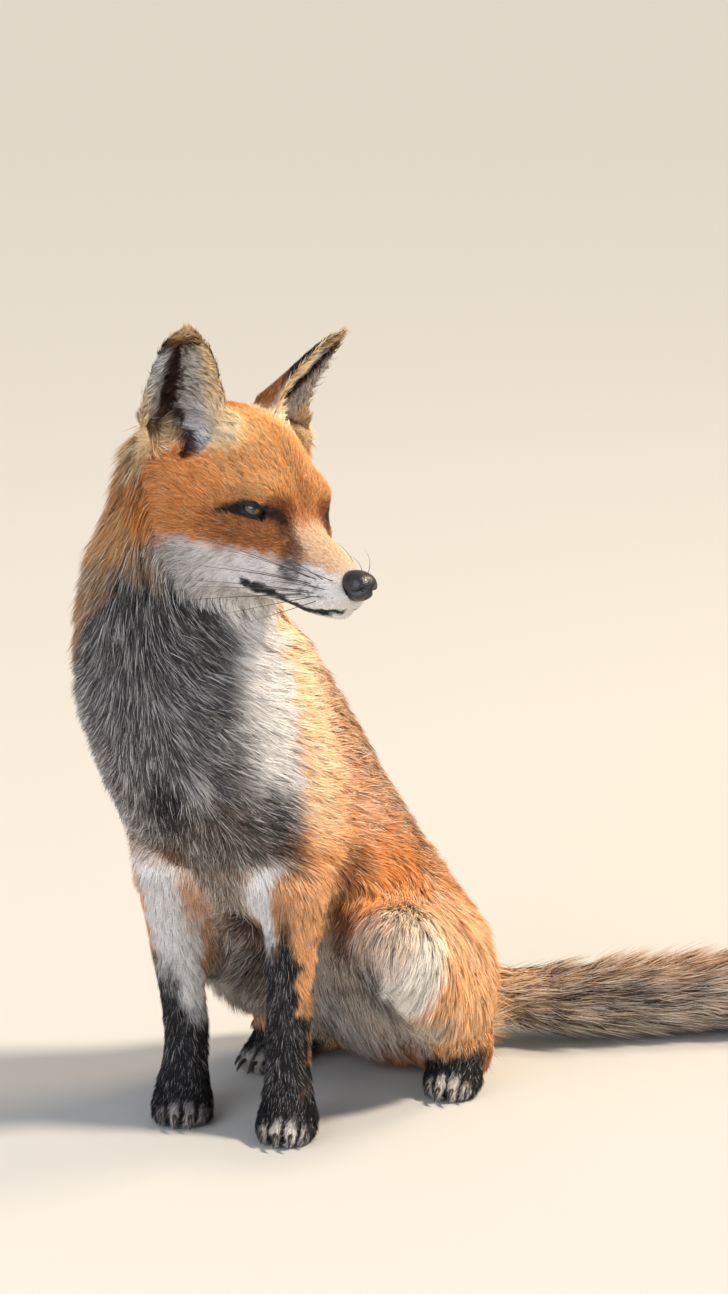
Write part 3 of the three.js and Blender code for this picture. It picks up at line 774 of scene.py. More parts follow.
high = on_head[:, 2]
far = on_head[:, 0]
face_up = 0.45 * rise(high, -22, 14) * rise(far, -66, -40) - 0.35 * rise(high, -8, -40)
face_up -= 1.2 * rise(far, -50, -90)
face_way = np.stack((-1 + 0 * far, side * (0.2 + 0.25 * rise(far, 10, -50)), face_up), axis=1)
ear_way, across_ear = np.zeros_like(skin_points), np.zeros_like(skin_points)
for s in (-1, 1):
    here = side == s
    ear_way[here] = along_line(on_head[here], EAR_LINES[s])
    across = (on_head[here] - EAR_LINES[s][0]) @ EAR_ACROSS[s]
    across_ear[here] = -np.sign(across)[:, None] * EAR_ACROSS[s]
front = rise(skin_normals[:, 1], 0.1, -0.6)
foot_way = everywhere(0.2, -1, -0.8)
# The breast's hair parts down its middle and sweeps round to the flanks.
angle, up = round_body(on_body), on_body[:, 2]
turned_by = np.radians(angle)
round_way = np.stack((np.cos(turned_by), np.sin(turned_by), 0 * angle), axis=1) * np.sign(angle)[:, None]
parting = rise(np.abs(angle), 3, 28) * rise(np.abs(angle), 135, 100) * rise(up, 160, 215)
# The thighs' hair runs from the hips forward over the knees.
hips = np.stack((52 * np.sign(on_body[:, 0] + 4) - 4, 180 + 0 * far, 165 + 0 * far), axis=1)
from_hips = on_body - hips
from_hips /= np.linalg.norm(from_hips, axis=1)[:, None]
ways = dict(
    ear_in=turned(across_ear + ear_way * 0.9),
    ear=turned(ear_way),
    muzzle=turned(face_way),
    face=turned(face_way),
    tail=along_line(on_body, TAIL_LINE),
    paw=foot_way,
    leg=everywhere(0, 0.12, -1),
    thigh=from_hips + (0, 0, -0.55),
    neck=np.stack((0 * far, 0.3 - 0.3 * front, -1 + 0 * far), axis=1)
    + round_way * (parting * (0.35 + 0.75 * rise(up, 420, 330)))[:, None],
    trunk=np.stack((0 * far, 0.62 - 0.6 * front, -1 + 0 * far), axis=1)
    + round_way * (1.45 * parting)[:, None],
)
flow = sum(share[name][:, None] * way / np.linalg.norm(way, axis=1)[:, None] for name, way in ways.items())
for _ in range(6):
    flow += (smoother.middle(flow) - flow) * 0.5

# Per region: the hairs' length and width in mm, lift from the skin in degrees, number per cm2, the size
# of the tufts they gather in, in mm, and how far they lean into them.
HAIRS = dict(
    ear_in=(10, 0.42, 22, 200, 3, 0.4),
    ear=(6, 0.4, 11, 300, 2.5, 0.3),
    muzzle=(4.2, 0.36, 12, 520, 1.6, 0.2),
    face=(9, 0.42, 14, 430, 2.6, 0.3),
    tail=(46, 0.75, 22, 150, 8, 0.45),
    paw=(7, 0.5, 13, 280, 3, 0.3),
    leg=(11, 0.5, 12, 290, 3.5, 0.35),
    thigh=(22, 0.6, 14, 135, 6, 0.33),
    neck=(28, 0.6, 19, 148, 7, 0.38),
    trunk=(22, 0.6, 14, 145, 6, 0.3),
)
columns = [dict(zip(HAIRS, column)) for column in zip(*HAIRS.values())]
length, width, lift, closeness, tuft, gather = (mixed(share, column) for column in columns)
lift = np.radians(lift)

# It is shorter on the muzzle, at the tail's end, the heels, lids and lips, and beside the nose leather.
# None grows on the soles, the eyes, the lips' edge or the nose leather.
length = length * (1 - share["face"] * 0.5 * rise(far, -20, 20))
tail_end = near_line(on_body, TAIL_LINE)[1]
length = length * (1 - 0.6 * share["tail"] * rise(tail_end, 0.8, 1.0))
length = length * (1 - 0.55 * share["thigh"] * rise(on_body[:, 2], 72, 44))
closeness = closeness * rise(skin_normals[:, 2], -0.995, -0.9)
for s in (-1, 1):
    sideways, upward, outward = off_eye(on_head, s)
    gap = np.where(outward > 0, np.hypot(sideways / 9.4, upward / 3.9), 9)
    closeness = closeness * rise(gap, 1.0, 1.15)
    length = length * (0.4 + 0.6 * rise(gap, 1, 3.5))
    width = width * (0.75 + 0.25 * rise(gap, 1, 3))
    lift = lift * (0.5 + 0.5 * rise(gap, 1, 2))
lip_gap, lip_along = from_lips(skin_points)
closeness = closeness * rise(lip_gap, 1.9 - 1.2 * lip_along, 2.7 - 1.4 * lip_along)
length = length * (0.4 + 0.6 * rise(lip_gap, 1, 9))
length = length * (1 - 0.45 * rise(high, -42, -52) * rise(high, -78, -66) * rise(far, -30, -10))
leather_gap = np.linalg.norm((on_head - NOSE_CENTRE) / (NOSE_SIZE + 0.4), axis=1)
closeness = closeness * rise(leather_gap, 0.98, 1.04)
length = length * (0.45 + 0.55 * rise(leather_gap, 1, 2.2))


def noise3(points, scale, seed):
    """Smooth random numbers from -1 to 1 that change over about `scale`."""
    p = points / scale
    total = np.zeros(len(points))
    turns = np.random.default_rng(seed)
    for _ in range(6):
        wave = turns.normal(size=3) * 2.2
        total += np.sin(p @ wave + turns.uniform(0, 6.28) + 1.5 * np.sin(p @ turns.normal(size=3) * 1.3))
    return total / 3.4


# ---- Coat: its markings ----
# Skin and hairs share one set of colours, laid over each other as soft-edged shapes from the trunk up to
# the ears. Each shape also says how many hairs are dark or pale and how dark their roots are. Some shapes
# are painted light and shade: sunlight on the left flank, the crown and the ears, and shade under the jaw,
# behind the cheeks, round the thighs, between the toes and under the coat.
ORANGE, BRIGHT, RUST = "#e08b40", "#f6ae60", "#94502a"
CREAM, WHITE, SILVER = "#ecd6b6", "#f2efec", "#b4afab"
SLATE, BROWN, BLACK = "#7f7b7a", "#4c3c33", "#1b191c"
BUFF, TAN, MAROON = "#ecd3b6", "#c99668", "#3b211c"

# The dark lines from the eye's inner corner to the whiskers and along the slit of the eye, and the dark
# spots that the whiskers grow from.
TEAR_LINE = [(4, 24, 0), (13.7, 18.5, 0.2), (18.3, 16.2, -5.4), (23.7, 15.9, -12), (29, 16, -19)]
TEAR_LINE += [(31, 16.5, -27)]
EYE_LINE = [(-17, 42, -7), (-12, 36, -3), (-6, 31, 0), (2, 25, 0), (13, 19, 0.5)]
WHISKER_SPOTS = [(60, 11, -37), (56, 12, -33), (50, 13, -38), (45, 14, -33), (40, 15, -38)]


def markings(points, normals):
    """The coat's colour, its shares of dark and of pale hairs, and how dark the hairs' roots are."""
    h, b = in_head(points), in_body(points)
    rough, ragged = noise3(b, 26, 3), noise3(b, 6, 4)
    x, y, z = h[:, 0] + 2 * ragged, np.abs(h[:, 1]) + 0.8 * ragged, h[:, 2] + 1.6 * ragged
    bx, by, bz = (b + 3 * rough[:, None] + 1.5 * ragged[:, None]).T
    mirrored = np.stack((x, y, z), axis=1)
    colour = np.tile(linear(ORANGE), (len(points), 1))
    dark = np.full(len(points), 0.05)
    pale = np.full(len(points), 0.12)
    # How dark the hairs' roots are: partly the banding of fox hair, partly painted shade deep in the coat.
    bands_and_shade = np.full(len(points), 0.2)

    def paint(tone, amount, darks=None, pales=None, banded_and_shaded=None):
        """Lays a hex colour over the ones before it, as thickly as the amount says, from 0 to 1."""
        nonlocal colour, dark, pale, bands_and_shade
        amount = np.clip(amount, 0, 1)
        colour = colour + (linear(tone) - colour) * amount[:, None]
        if darks is not None:
            dark = dark + (darks - dark) * amount
        if pales is not None:
            pale = pale + (pales - pale) * amount
        if banded_and_shaded is not None:
            bands_and_shade = bands_and_shade + (banded_and_shaded - bands_and_shade) * amount

    # Trunk: a grizzled saddle, lighter flanks with painted sunlight on the left one, and a slate chest with
    # white down its left side.
    round_it = round_body(np.stack((bx, by, bz), axis=1))
    back = normals @ np.array((0.1, 0.8, 0.55))
    turn = np.abs(round_it)
    flank = rise(turn, 62, 86) * rise(bz, 180, 225) * rise(bz, 400, 350)
    paint("#e5b088", 0.85 * flank, 0.04, 0.25, 0.15)
    saddle = np.maximum(rise(back, 0.4, 0.95), rise(turn, 92, 130))
    saddle = saddle * rise(bz + 8 * ragged, 96, 196) * rise(bz, 430, 370)
    paint("#b4845f", 0.85 * saddle, 0.22, 0.2, 0.35)
    paint("#6f5441", 0.45 * rise(back, 0.84, 0.98) * rise(bz, 130, 190) * rise(bz, 400, 360), 0.4, 0.14, 0.4)
    # Degrees round the body at which the slate begins and ends and the white ends, by height.
    first = np.interp(bz, (250, 310, 356, 395), (-52, -48, -34, -14))
    last = np.interp(bz, (225, 250, 323, 374), (26, 36, 50, 62))
    outer = np.interp(bz, (222, 245, 274, 302, 344, 360), (34, 46, 66, 76, 88, 98))
    tall = rise(bz, 184, 206) * rise(z, -38, -52) * rise(bz, 430, 405)
    throat = rise(bz, 388, 410) * rise(np.abs(round_it + 20), 66, 44)
    paint("#d6a062", 0.9 * throat, 0.06, 0.2, 0.3)
    paint("#b26c34", 0.7 * throat * rise(bz, 438, 460), 0.1, 0.15, 0.3)
    paint("#7d6350", 0.75 * throat * rise(turn, 18, 4) * rise(bz, 450, 430), 0.15, 0.25, 0.5)
    # Painted sunlight: pale cream-gold down the left flank just outside the white band, on the side that the
    # key light falls on, and a brighter orange below it.
    sunlit_gold = rise(round_it, outer - 4, outer + 6) * rise(round_it, outer + 50, outer + 12)
    paint("#ffdcae", 0.9 * sunlit_gold * rise(bz, 180, 220) * rise(bz, 395, 360), 0.02, 0.3, 0)
    paint("#f0a860", 0.7 * sunlit_gold * rise(bz, 235, 205) * rise(bz, 150, 185), 0.03, 0.2, 0.1)
    side_tan = rise(round_it, first + 8, first - 4) * rise(round_it, first - 66, first - 34)
    paint("#a68a6a", 0.8 * side_tan * tall * rise(bz, 290, 330), 0.12, 0.3, 0.5)
    paint(CREAM, 0.6 * side_tan * tall * rise(bz, 330, 290), 0.05, 0.3, 0.4)
    band = rise(round_it, last - 30, last - 16) * rise(round_it, outer + 5, outer - 5)
    paint("#f1edea", band * tall * rise(bz, 212, 236), 0.03, 0.2, 0.15)
    breast = rise(round_it, first - 4, first + 8) * rise(round_it, last + 6, last - 14) * tall
    paint("#625d5b", breast, 0.14, 0.26, 0.6)
    paint("#4a423f", 0.75 * breast * rise(bz, 335, 375), 0.2, 0.18, 0.5)
    paint(SILVER, 0.65 * breast * rise(ragged + 0.6 * rough, 0.4, 1.2), 0.08, 0.45, 0.6)
    paint(SILVER, 0.7 * breast * rise(round_it, -16, -34) * rise(bz, 340, 300), 0.08, 0.5, 0.5)
    paint(SILVER, 0.8 * inside(b, (-34, -18, 264), (9, 18, 16), 0.9), 0.08, 0.5, 0.4)
    paint("#6a5a4e", 0.8 * inside(b, (-22, 2, 222), (24, 30, 34), 0.8), 0.15, 0.25, 0.5)
    paint("#2a221e", 0.95 * inside(b, (-51, -24, 246), (17, 26, 34), 0.8), 0.4, 0.12, 0.3)
    paint("#3d3430", 0.9 * inside(b, (4, 18, 230), (14, 24, 32), 0.8), 0.35, 0.16, 0.4)
    paint("#7a4b2d", 0.85 * inside(b, (-60, 4, 202), (14, 26, 20), 0.8), 0.2, 0.1)
    paint("#a39181", rise(bz, 214, 190) * rise(np.abs(bx + 36), 42, 26) * rise(by, 215, 180), 0.12, 0.25, 0.4)
    paint("#8f6a4b", 0.8 * inside(b, (-84, 18, 197), (26, 36, 17), 0.9), 0.25, 0.2, 0.4)
    paint("#4b423d", 0.75 * inside(b, (4, 32, 203), (14, 26, 18), 0.9), 0.3, 0.25, 0.4)

    # Forelegs: pale in front, orange outside and behind, in black stockings that climb the front.
    for s, line in FORELEGS.items():
        line = np.array(line, float)[::-1]
        out = (bx - np.interp(bz, line[:, 2], line[:, 0])) * s
        ahead = np.interp(bz, line[:, 2], line[:, 1]) - by
        here = (1 - rise(near_line(b, FORELEGS[s])[0], 30, 42)) * rise(bz, 212, 190)
        paint("#eeb077", here, 0.05, 0.15, 0.1)
        front = rise(ahead, 0, 9) * rise(out, 0, -7) if s > 0 else rise(ahead, -10, 0) * rise(out, 14, 6)
        paint("#faf7f5", here * front, 0.04, 0.25, 0)
        paint("#d9985c", 0.85 * here * inside(b, (-62, 42, 168), (11, 20, 30), 0.8) * (s < 0))
        right_top = np.interp(out, (-16, -12, -7, 14), (66, 82, 105, 117))
        left_top = 138 + 24 * np.exp(-(((out - 4) / 4) ** 2)) - 24 * np.clip(out - 9.8, 0, 5)
        top = right_top if s < 0 else left_top
        top = top + 9 * ragged
        stocking = here * rise(bz, top + 22, top - 14)
        stocking = np.maximum(stocking, here * rise(bz, 52, 38))
        paint(BLACK, stocking, 0.3, 0.07)
        paint(SLATE, 0.4 * stocking * rise(bz, 40, 80) * rise(ragged, 0.1, 1.0), 0.3, 0.2)

    # Hindquarters: cream knees, orange haunches, tan heels and dark feet, with painted shade in the gaps,
    # folds and creases round the thighs.
    for s in (-1, 1):
        knee = (62, 92, 122) if s > 0 else (-72, 94, 112)
        off_knee = (b - knee) * (s, 1, 1)
        here = rise((bx + 4) * s, 18, 34)
        paint("#f8c690", 0.85 * here * inside(off_knee, (22, 56, -14), (50, 76, 74), 0.8), 0.03, 0.25, 0.1)
        paint("#ffe4be", 0.9 * inside(off_knee, (24, 26, 24), (24, 30, 20), 0.8), 0.02, 0.2, 0)
        paint("#fffaf3", here * inside(off_knee, (18, 0, -10), (34, 32, 42), 0.6), 0.02, 0.2, 0)
        inner = rise((bx - knee[0]) * s, 2, -12) * rise(by, 200, 165) * rise(bz, 160, 130)
        inner = np.maximum(inner, here * rise(bz, 92, 70) * rise(by, 165, 135))
        inner = inner * ((bx + 4) * s > 0) * rise(by, 70, 84)
        paint("#cdbfb2", 0.92 * inner, 0.08, 0.35, 0.3)
        paint("#6e6056", 0.6 * inner * rise(rough + 0.4 * ragged, 0.1, 0.9), 0.25, 0.2, 0.4)
        paint("#f0d4ba", 0.85 * inside(off_knee, (8, -12, 30), (22, 24, 24), 0.8), 0.04, 0.35, 0.15)
        # Painted shadow: dark brown in the gap below, inside and behind each knee.
        paint(BROWN, 0.6 * inside(b, (knee[0] - s * 28, knee[1] + 20, 98), (16, 30, 40), 0.8), 0.35, 0.15)
        # Painted shade in the fold in front of and below each knee.
        fold_shade = inside(b, (knee[0] - s * 10, knee[1] - 18, 100), (14, 18, 44), 0.6)
        paint(BROWN, 0.6 * here * fold_shade, 0.3, 0.1)
        paint("#7a3a1c", 0.8 * inside(b, (34 * s, 90, 188), (15, 18, 17), 0.8) * (s > 0), 0.15, 0.05)
        # Painted shadow: dark brown high inside each thigh, between it and the foreleg.
        paint("#54301d", 0.85 * here * inside(b, (knee[0] - s * 38, 88, 146), (18, 22, 26), 0.8), 0.2, 0.08)
        # Painted shade: a dark line down the crease inside each thigh.
        crease_shade = [(s * 38, 100, 124), (s * 32, 112, 98), (s * 6, 134, 72), (s * 10, 150, 40)]
        crease_shade_gap, _ = near_line(b, crease_shade)
        paint("#3c302b", 0.85 * (1 - rise(crease_shade_gap, 3, 11)), 0.3, 0.1, 0.5)
        paint(TAN, 0.55 * here * rise(by, 165, 200) * rise(bz, 110, 60), 0.06, 0.3)
        foot = (1 - rise(near_line(b, HINDFEET[s])[0], 24, 32)) * rise(by, 214, 196)
        paint(BLACK, foot * rise(bz, 50, 40), 0.3, 0.08)
    for toe, heading, wide in FEET:
        back_off, out, up_off = on_foot(b, toe, heading)
        on_toes = rise(back_off, 22, 14) * (back_off > -14) * rise(up_off, 24, 18)
        on_toes = on_toes * (np.abs(out) < wide * 0.6)
        near_toe = np.min([np.abs(out - o * wide) for _, o in TOES], axis=0)
        pale_toes = 0.5 if toe == FEET[1][0] else 0.95  # the right forepaw's toes are greyer
        paint("#f6f0ea", pale_toes * on_toes * rise(near_toe, 4.2, 2.4) * rise(back_off, 18, 8), 0.08, 0.4, 0)
        # Black between the toes: the paw's own black, which here also stands as painted shade in the grooves.
        paint(BLACK, 0.9 * on_toes * rise(near_toe, 3.4, 4.6), 0.3, 0.02)

    # Tail: buff with long dark-tipped hairs, and white at its end.
    tail_d, tail_t = near_line(b, TAIL_LINE)
    tail = (1 - rise(tail_d, 46, 60)) * rise(tail_t, 0.04, 0.14)
    paint(BUFF, tail, 0.13, 0.4, 0.5)
    paint("#e3a468", 0.75 * tail * rise(bz, 30, 46), 0.1, 0.3, 0.3)
    paint("#d6a866", 0.7 * tail * rise(bz, 20, 8), 0.08, 0.3, 0.3)
    streaks = rise(0.6 * rough + ragged, -0.3, 0.5) * rise(np.abs(bz - 27), 21, 10) * rise(tail_t, 0.14, 0.26)
    paint("#43322f", 0.95 * tail * streaks, 0.45, 0.42, 0.3)
    paint("#dca66e", 0.6 * tail * rise(tail_t, 0.34, 0.1), 0.08, 0.3)
    paint(WHITE, tail * rise(tail_t + 0.02 * ragged, 0.78, 0.93), 0.03, 0.5, 0.2)

    # Head: an orange crown and cheeks, a paler bridge, white lips, cheeks and chin, with a painted highlight
    # on the crown and the ear bases and painted shade behind the cheeks and under the jaw.
    skull = inside(h, (0, 0, -6), (104, 80, 68), 0.12)
    on_face = rise(x * 0.87 + z * 0.49, -80, -66) * rise(z, -80, -66) * skull
    paint(ORANGE, on_face * rise(z, -44, -30), 0.07, 0.22, 0.42)
    # Brighter orange over the crown: partly its own colour, partly a painted highlight from the high key
    # light.
    paint(BRIGHT, 0.8 * on_face * inside(mirrored, (-6, 18, 22), (44, 26, 20), 0.8))
    # Painted highlight: pale gold on the crown and at the front of each ear's base, where the sun catches
    # them.
    paint("#ffc26c", 0.75 * skull * inside(mirrored, (-46, 12, 40), (30, 16, 16), 0.8), 0.03, 0.25, 0.05)
    paint("#ffdf98", 0.95 * skull * inside(mirrored, (-48, 25, 39), (24, 15, 17), 0.7), 0.02, 0.35, 0)
    paint(RUST, 0.35 * inside(mirrored, (0, 0, 18), (30, 5, 18), 0.8), 0.12)
    paint(RUST, 0.6 * inside(mirrored, (-4, 33, -11), (28, 22, 11), 0.7), 0.14, 0.08)
    paint(RUST, 0.9 * inside(mirrored, (12, 17, 1), (16, 9, 9), 0.7), 0.2, 0.04)
    paint("#f6d3ac", 0.9 * skull * rise(x, 14, 30) * rise(y, 17, 11) * rise(z, -25, -18), 0.03, 0.15, 0.05)
    cheek = skull * rise(z, -21, -28) * rise(x, -44, -24) * rise(z, -70, -57)
    paint("#faf8f6", 0.95 * cheek, 0.03, 0.2, 0)
    # Grey on the backs of the cheeks, between the white cheek and the slate throat: partly its own grey,
    # partly painted shade over white hair.
    ruff = rise(z, -20, -34) * rise(x, -12, -36) * on_face * rise(z, -66, -50)
    paint("#98928d", 0.85 * ruff, 0.12, 0.4, 0.4)
    paint("#c9c2bc", 0.6 * cheek * rise(ragged + rough, 0.3, 1.3) * rise(x, 10, -10), 0.1, 0.3, 0.3)
    paint("#fffbf7", 0.95 * skull * rise(x, 24, 36) * rise(z, -19, -25), 0.03, 0.15, 0)
    paint("#e6dbcf", 0.7 * skull * rise(x, 60, 68) * rise(z, -34, -26))
    tear_d, tear_t = near_line(mirrored, TEAR_LINE)
    tear = (1 - rise(tear_d, 1.5 + 3 * tear_t, 5.5 + 4 * tear_t)) * (1 - 0.4 * rise(ragged, 0, 1))
    paint("#6d3820", 0.85 * tear * rise(tear_t, 1.0, 0.75), 0.3, 0.02)
    paint("#2a1712", 0.95 * (1 - rise(tear_d, 1.2, 4.2)) * rise(tear_t, 0.5, 0.3), 0.3, 0)
    smudge = inside(mirrored, (31, 17, -28), (8, 9, 8), 1.2) * rise(ragged, -1.0, 0.2)
    paint("#54463f", 0.8 * smudge, 0.45, 0.1)
    eye_d, eye_t = near_line(mirrored, EYE_LINE)
    opening = np.sin(np.pi * eye_t)
    paint("#1d1210", 1 - rise(eye_d, 0.9 + 3.2 * opening, 2.6 + 3.6 * opening), 0.3, 0)
    for spot in WHISKER_SPOTS:
        paint(BROWN, 0.7 * inside(mirrored, spot, (2.2, 5, 2.0), 0.9))
    # Painted shade: the jaw's underside, its pale hair darkened to grey-brown.
    paint("#978a7f", 0.85 * skull * rise(z, -50, -56) * rise(x, -24, 0) * rise(x, 62, 50), 0.12, 0.25, 0.3)
    lip_d, lip_t = near_line(mirrored, LIP_LINE)
    paint(BLACK, 1 - rise(lip_d, 4.4 - 3.0 * lip_t, 7 - 4.8 * lip_t), 0.3, 0)
    paint(BLACK, 1 - rise(near_line(mirrored, PHILTRUM)[0], 0.6, 1.6))

    # Ears: black backs on an orange-brown foot, pale rims brightened as painted sunlight, white hair inside
    # over dark skin.
    facing = normals @ head_axes
    for s in (-1, 1):
        d, t = near_line(h, EAR_LINES[s])
        shell = (1 - rise(d, 34, 38)) * (h[:, 1] * s > 0) * rise(t, 0.01, 0.1)
        cup = inside(h, (-66, s * 40, 36), (22, 19, 31), 0.25) * rise(z, 17, 24)
        shell = np.maximum(shell * rise(h @ EAR_OPENS[s], -94, -86), cup)
        within = rise(facing @ EAR_OPENS[s], -0.35, 0.05)
        within = np.maximum(within, cup * rise(h @ EAR_OPENS[s], -58, -48))
        brim = 31 * np.sqrt(np.clip(1 - t**2.2, 0.02, 1))
        # How far across the ear each point is: 1 at the front rim and -1 at the rear one.
        off = (h - np.array(EAR_LINES[s][0])) @ EAR_ACROSS[s] / brim
        outside = shell * (1 - within)
        paint("#cf8a4d", outside, 0.12, 0.1)
        upper_back = outside * rise(t + 0.06 * rough, 0.26, 0.5) * rise(t, 0.98, 0.9)
        paint(BLACK, upper_back * rise(np.abs(off), 0.92, 0.74), 0.3, 0.03)
        paint(MAROON, shell * within, 0.12, 0.02)
        inner_edge = -0.08 if s < 0 else -0.4
        white = np.maximum(rise(off, inner_edge, inner_edge + 0.22), rise(off, -0.5, -0.64))
        paint(WHITE, 0.95 * shell * within * white * rise(t, 0.82, 0.66), 0.08, 0.3, 0.3)
        # The golden bands inside the rims: partly their own cream colour, partly painted sunlight grazing the
        # rims.
        sunlit_gold = np.maximum(rise(off, 0.42, 0.7), rise(off, -0.7, -0.86))
        paint("#ffdfa6", 0.95 * shell * within * sunlit_gold, 0.03, 0.3, 0)
        paint("#c98f4e", 0.85 * shell * within * rise(t, 0.76, 0.9), 0.15, 0.2)
        # The rim's edge: pale, partly its own colour, partly painted sunlight on the edge.
        paint("#e9cd9c", 0.9 * shell * rise(np.maximum(np.abs(off), t + 0.02), 0.86, 0.95), 0.1, 0.3, 0)
    paint("#f3d3a0", 0.85 * inside(mirrored, (-71, 66, 33), (11, 10, 15), 0.6), 0.04, 0.3, 0)
    paint(MAROON, 0.95 * inside(mirrored, (-69, 31, 23), (10, 9, 11), 0.5), 0.12, 0.02)
    paint("#e3c08c", 0.9 * inside(mirrored, (-81, 47, 19), (13, 13, 14), 0.7), 0.1, 0.3, 0.1)
    notch_d, _ = near_line(mirrored, [(-76, 69, 44), (-79, 66, 34), (-80, 61, 26)])
    paint(MAROON, 1 - rise(notch_d, 1.0, 2.6))
    return colour, dark, pale, bands_and_shade


colour, _, _, bands_and_shade = markings(skin_points, skin_normals)

# ---- Coat: its hairs ----
# Fox hair in tufts that lean together: thin flat blades that lie along the body and taper to a point.
# Long ones bend and short ones are straight. They are scattered over the skin and joined into one
# mesh for each region of the coat, because there are hundreds of thousands.
rng = np.random.default_rng(11)


def whole_numbers(rows, value, width=1):
    """A whole-number value of each row of a mesh's data, as an array."""
    found = np.empty(len(rows) * width, np.int32)
    rows.foreach_get(value, found)
    return found.reshape(-1, width) if width > 1 else found


skin.data.calc_loop_triangles()
corners = whole_numbers(skin.data.loop_triangles, "vertices", 3)
triangle_loops = whole_numbers(skin.data.loop_triangles, "loops", 3)
triangle_face = whole_numbers(skin.data.loop_triangles, "polygon_index")
face_start = whole_numbers(skin.data.polygons, "loop_start")
face_size = whole_numbers(skin.data.polygons, "loop_total")
loop_point = whole_numbers(skin.data.loops, "vertex_index")
edge_1 = skin_points[corners[:, 1]] - skin_points[corners[:, 0]]
edge_2 = skin_points[corners[:, 2]] - skin_points[corners[:, 0]]
area = np.linalg.norm(np.cross(edge_1, edge_2), axis=1) / 2 * 1e4  # in cm2
expected = area * closeness[corners].mean(axis=1)
counts = np.floor(expected + rng.uniform(size=len(expected))).astype(int)
owner = np.repeat(np.arange(len(corners)), counts)
u, v = rng.uniform(size=(2, len(owner)))
u, v = np.where(u + v > 1, 1 - u, u), np.where(u + v > 1, 1 - v, v)
weights = np.stack((1 - u - v, u, v), axis=1)


def at_roots(values):
    """What a value of the skin's vertices is at each hair's root."""
    found = values[corners[owner]]
    return np.einsum("ij,ij...->i...", weights, found)


root = at_roots(skin_points)
normal = at_roots(skin_normals)
normal /= np.linalg.norm(normal, axis=1)[:, None]
way = at_roots(flow)
by_vertex = dict(length=length, lift=lift, width=width, tuft=tuft, gather=gather)
hair = {name: at_roots(values) for name, values in by_vertex.items()}


def nearest_seed(points, size, seed):
    """For each point, the nearest of scattered seeds about `size` apart, and a number that names it."""
    scramble = (2654435761, 2246822519, 3266489917)
    cell = np.floor(points / size[:, None]).astype(np.int64)
    best = np.full(len(points), 1e9)
    place = np.zeros_like(points)
    label = np.zeros(len(points), np.int64)
    for step in np.ndindex(3, 3, 3):
        c = cell + np.array(step) - 1
        code = (c[:, 0] * 73856093) ^ (c[:, 1] * 19349663) ^ (c[:, 2] * 83492791) ^ seed
        jitter = np.stack([((code * k) >> 7) % 4096 / 4096 for k in scramble], axis=1)
        spot = (c + jitter) * size[:, None]
        d = np.linalg.norm(points - spot, axis=1)
        closer = d < best
        best[closer] = d[closer]
        place[closer] = spot[closer]
        label[closer] = code[closer]
    return place, label


# The tufts' size is stepped, so that hairs of one tuft agree on it.
TUFT_STEP = 0.35
steps = np.exp(np.round(np.log(hair["tuft"]) / TUFT_STEP) * TUFT_STEP) / 1000
tuft_place, tuft_name = nearest_seed(root, steps, 5)
fate = ((tuft_name * 40503) >> 5) % 9973 / 9973  # two numbers from 0 to 1 that a tuft's hairs share
fate_2 = ((tuft_name * 30011) >> 6) % 9967 / 9967

# Each hair goes out along the lie of the coat, lifts, bows and leans towards the middle of its tuft. Its
# root is set into the skin, and none goes down to the floor.
ROOT_SET, TIP_GAP, BEND_GAP = 0.0004, 0.0006, 0.0010
way = unit(way - normal * np.einsum("ij,ij->i", way, normal)[:, None])
across = np.cross(normal, way)
swerve = (fate - 0.5) * 0.5 + rng.normal(size=len(root)) * 0.12
way = way * np.cos(swerve)[:, None] + across * np.sin(swerve)[:, None]
across = np.cross(normal, way)
reach = hair["length"] / 1000 * (0.72 + 0.36 * fate_2) * rng.uniform(0.75, 1.12, len(root))
raise_by = hair["lift"] * (0.7 + 0.6 * fate) * rng.uniform(0.8, 1.25, len(root))
to_tuft = tuft_place - root
to_tuft -= normal * np.einsum("ij,ij->i", to_tuft, normal)[:, None]
to_tuft -= way * np.einsum("ij,ij->i", to_tuft, way)[:, None]
tip = root + reach[:, None] * (way * np.cos(raise_by)[:, None] + normal * np.sin(raise_by)[:, None])
tip += to_tuft * hair["gather"][:, None]
bow = raise_by * 1.5
bend = root + 0.5 * reach[:, None] * (way * np.cos(bow)[:, None] + normal * np.sin(bow)[:, None])
bend += to_tuft * hair["gather"][:, None] * 0.4
tip[:, 2] = np.maximum(tip[:, 2], TIP_GAP)
bend[:, 2] = np.maximum(bend[:, 2], BEND_GAP)
half = hair["width"] / 2 / 1000 * rng.uniform(0.75, 1.25, len(root))
roll = rng.normal(size=len(root)) * 0.5
flat = across * np.cos(roll)[:, None] + normal * np.sin(roll)[:, None]
sunk = root - normal * ROOT_SET

# Most hairs have the markings' colour, some are black-tipped and some pale, and all darken to the root:
# partly the banding of fox hair, partly painted shade deep in the coat.
hair_colour, hair_dark, hair_pale, hair_bands_and_shade = markings(root, normal)
kind = rng.uniform(size=len(root))
tone = rng.uniform(0.82, 1.14, len(root))[:, None] * (0.86 + 0.28 * fate[:, None])
tip_colour = hair_colour * tone
is_dark = kind < hair_dark
is_pale = kind > 1 - hair_pale
tip_colour[is_dark] = linear(BLACK) * 1.3 + 0.18 * tip_colour[is_dark]
grey = (hair_colour.min(axis=1) / hair_colour.max(axis=1))[is_pale, None]
tip_colour[is_pale] = np.sqrt(tip_colour[is_pale]) * (1 - 0.6 * grey) + 0.62 * grey * linear(WHITE)
root_colour = tip_colour * np.array((1, 0.95, 0.92)) * (0.76 - 0.62 * hair_bands_and_shade)[:, None]
mid_colour = tip_colour * (1 - 0.45 * hair_bands_and_shade)[:, None]


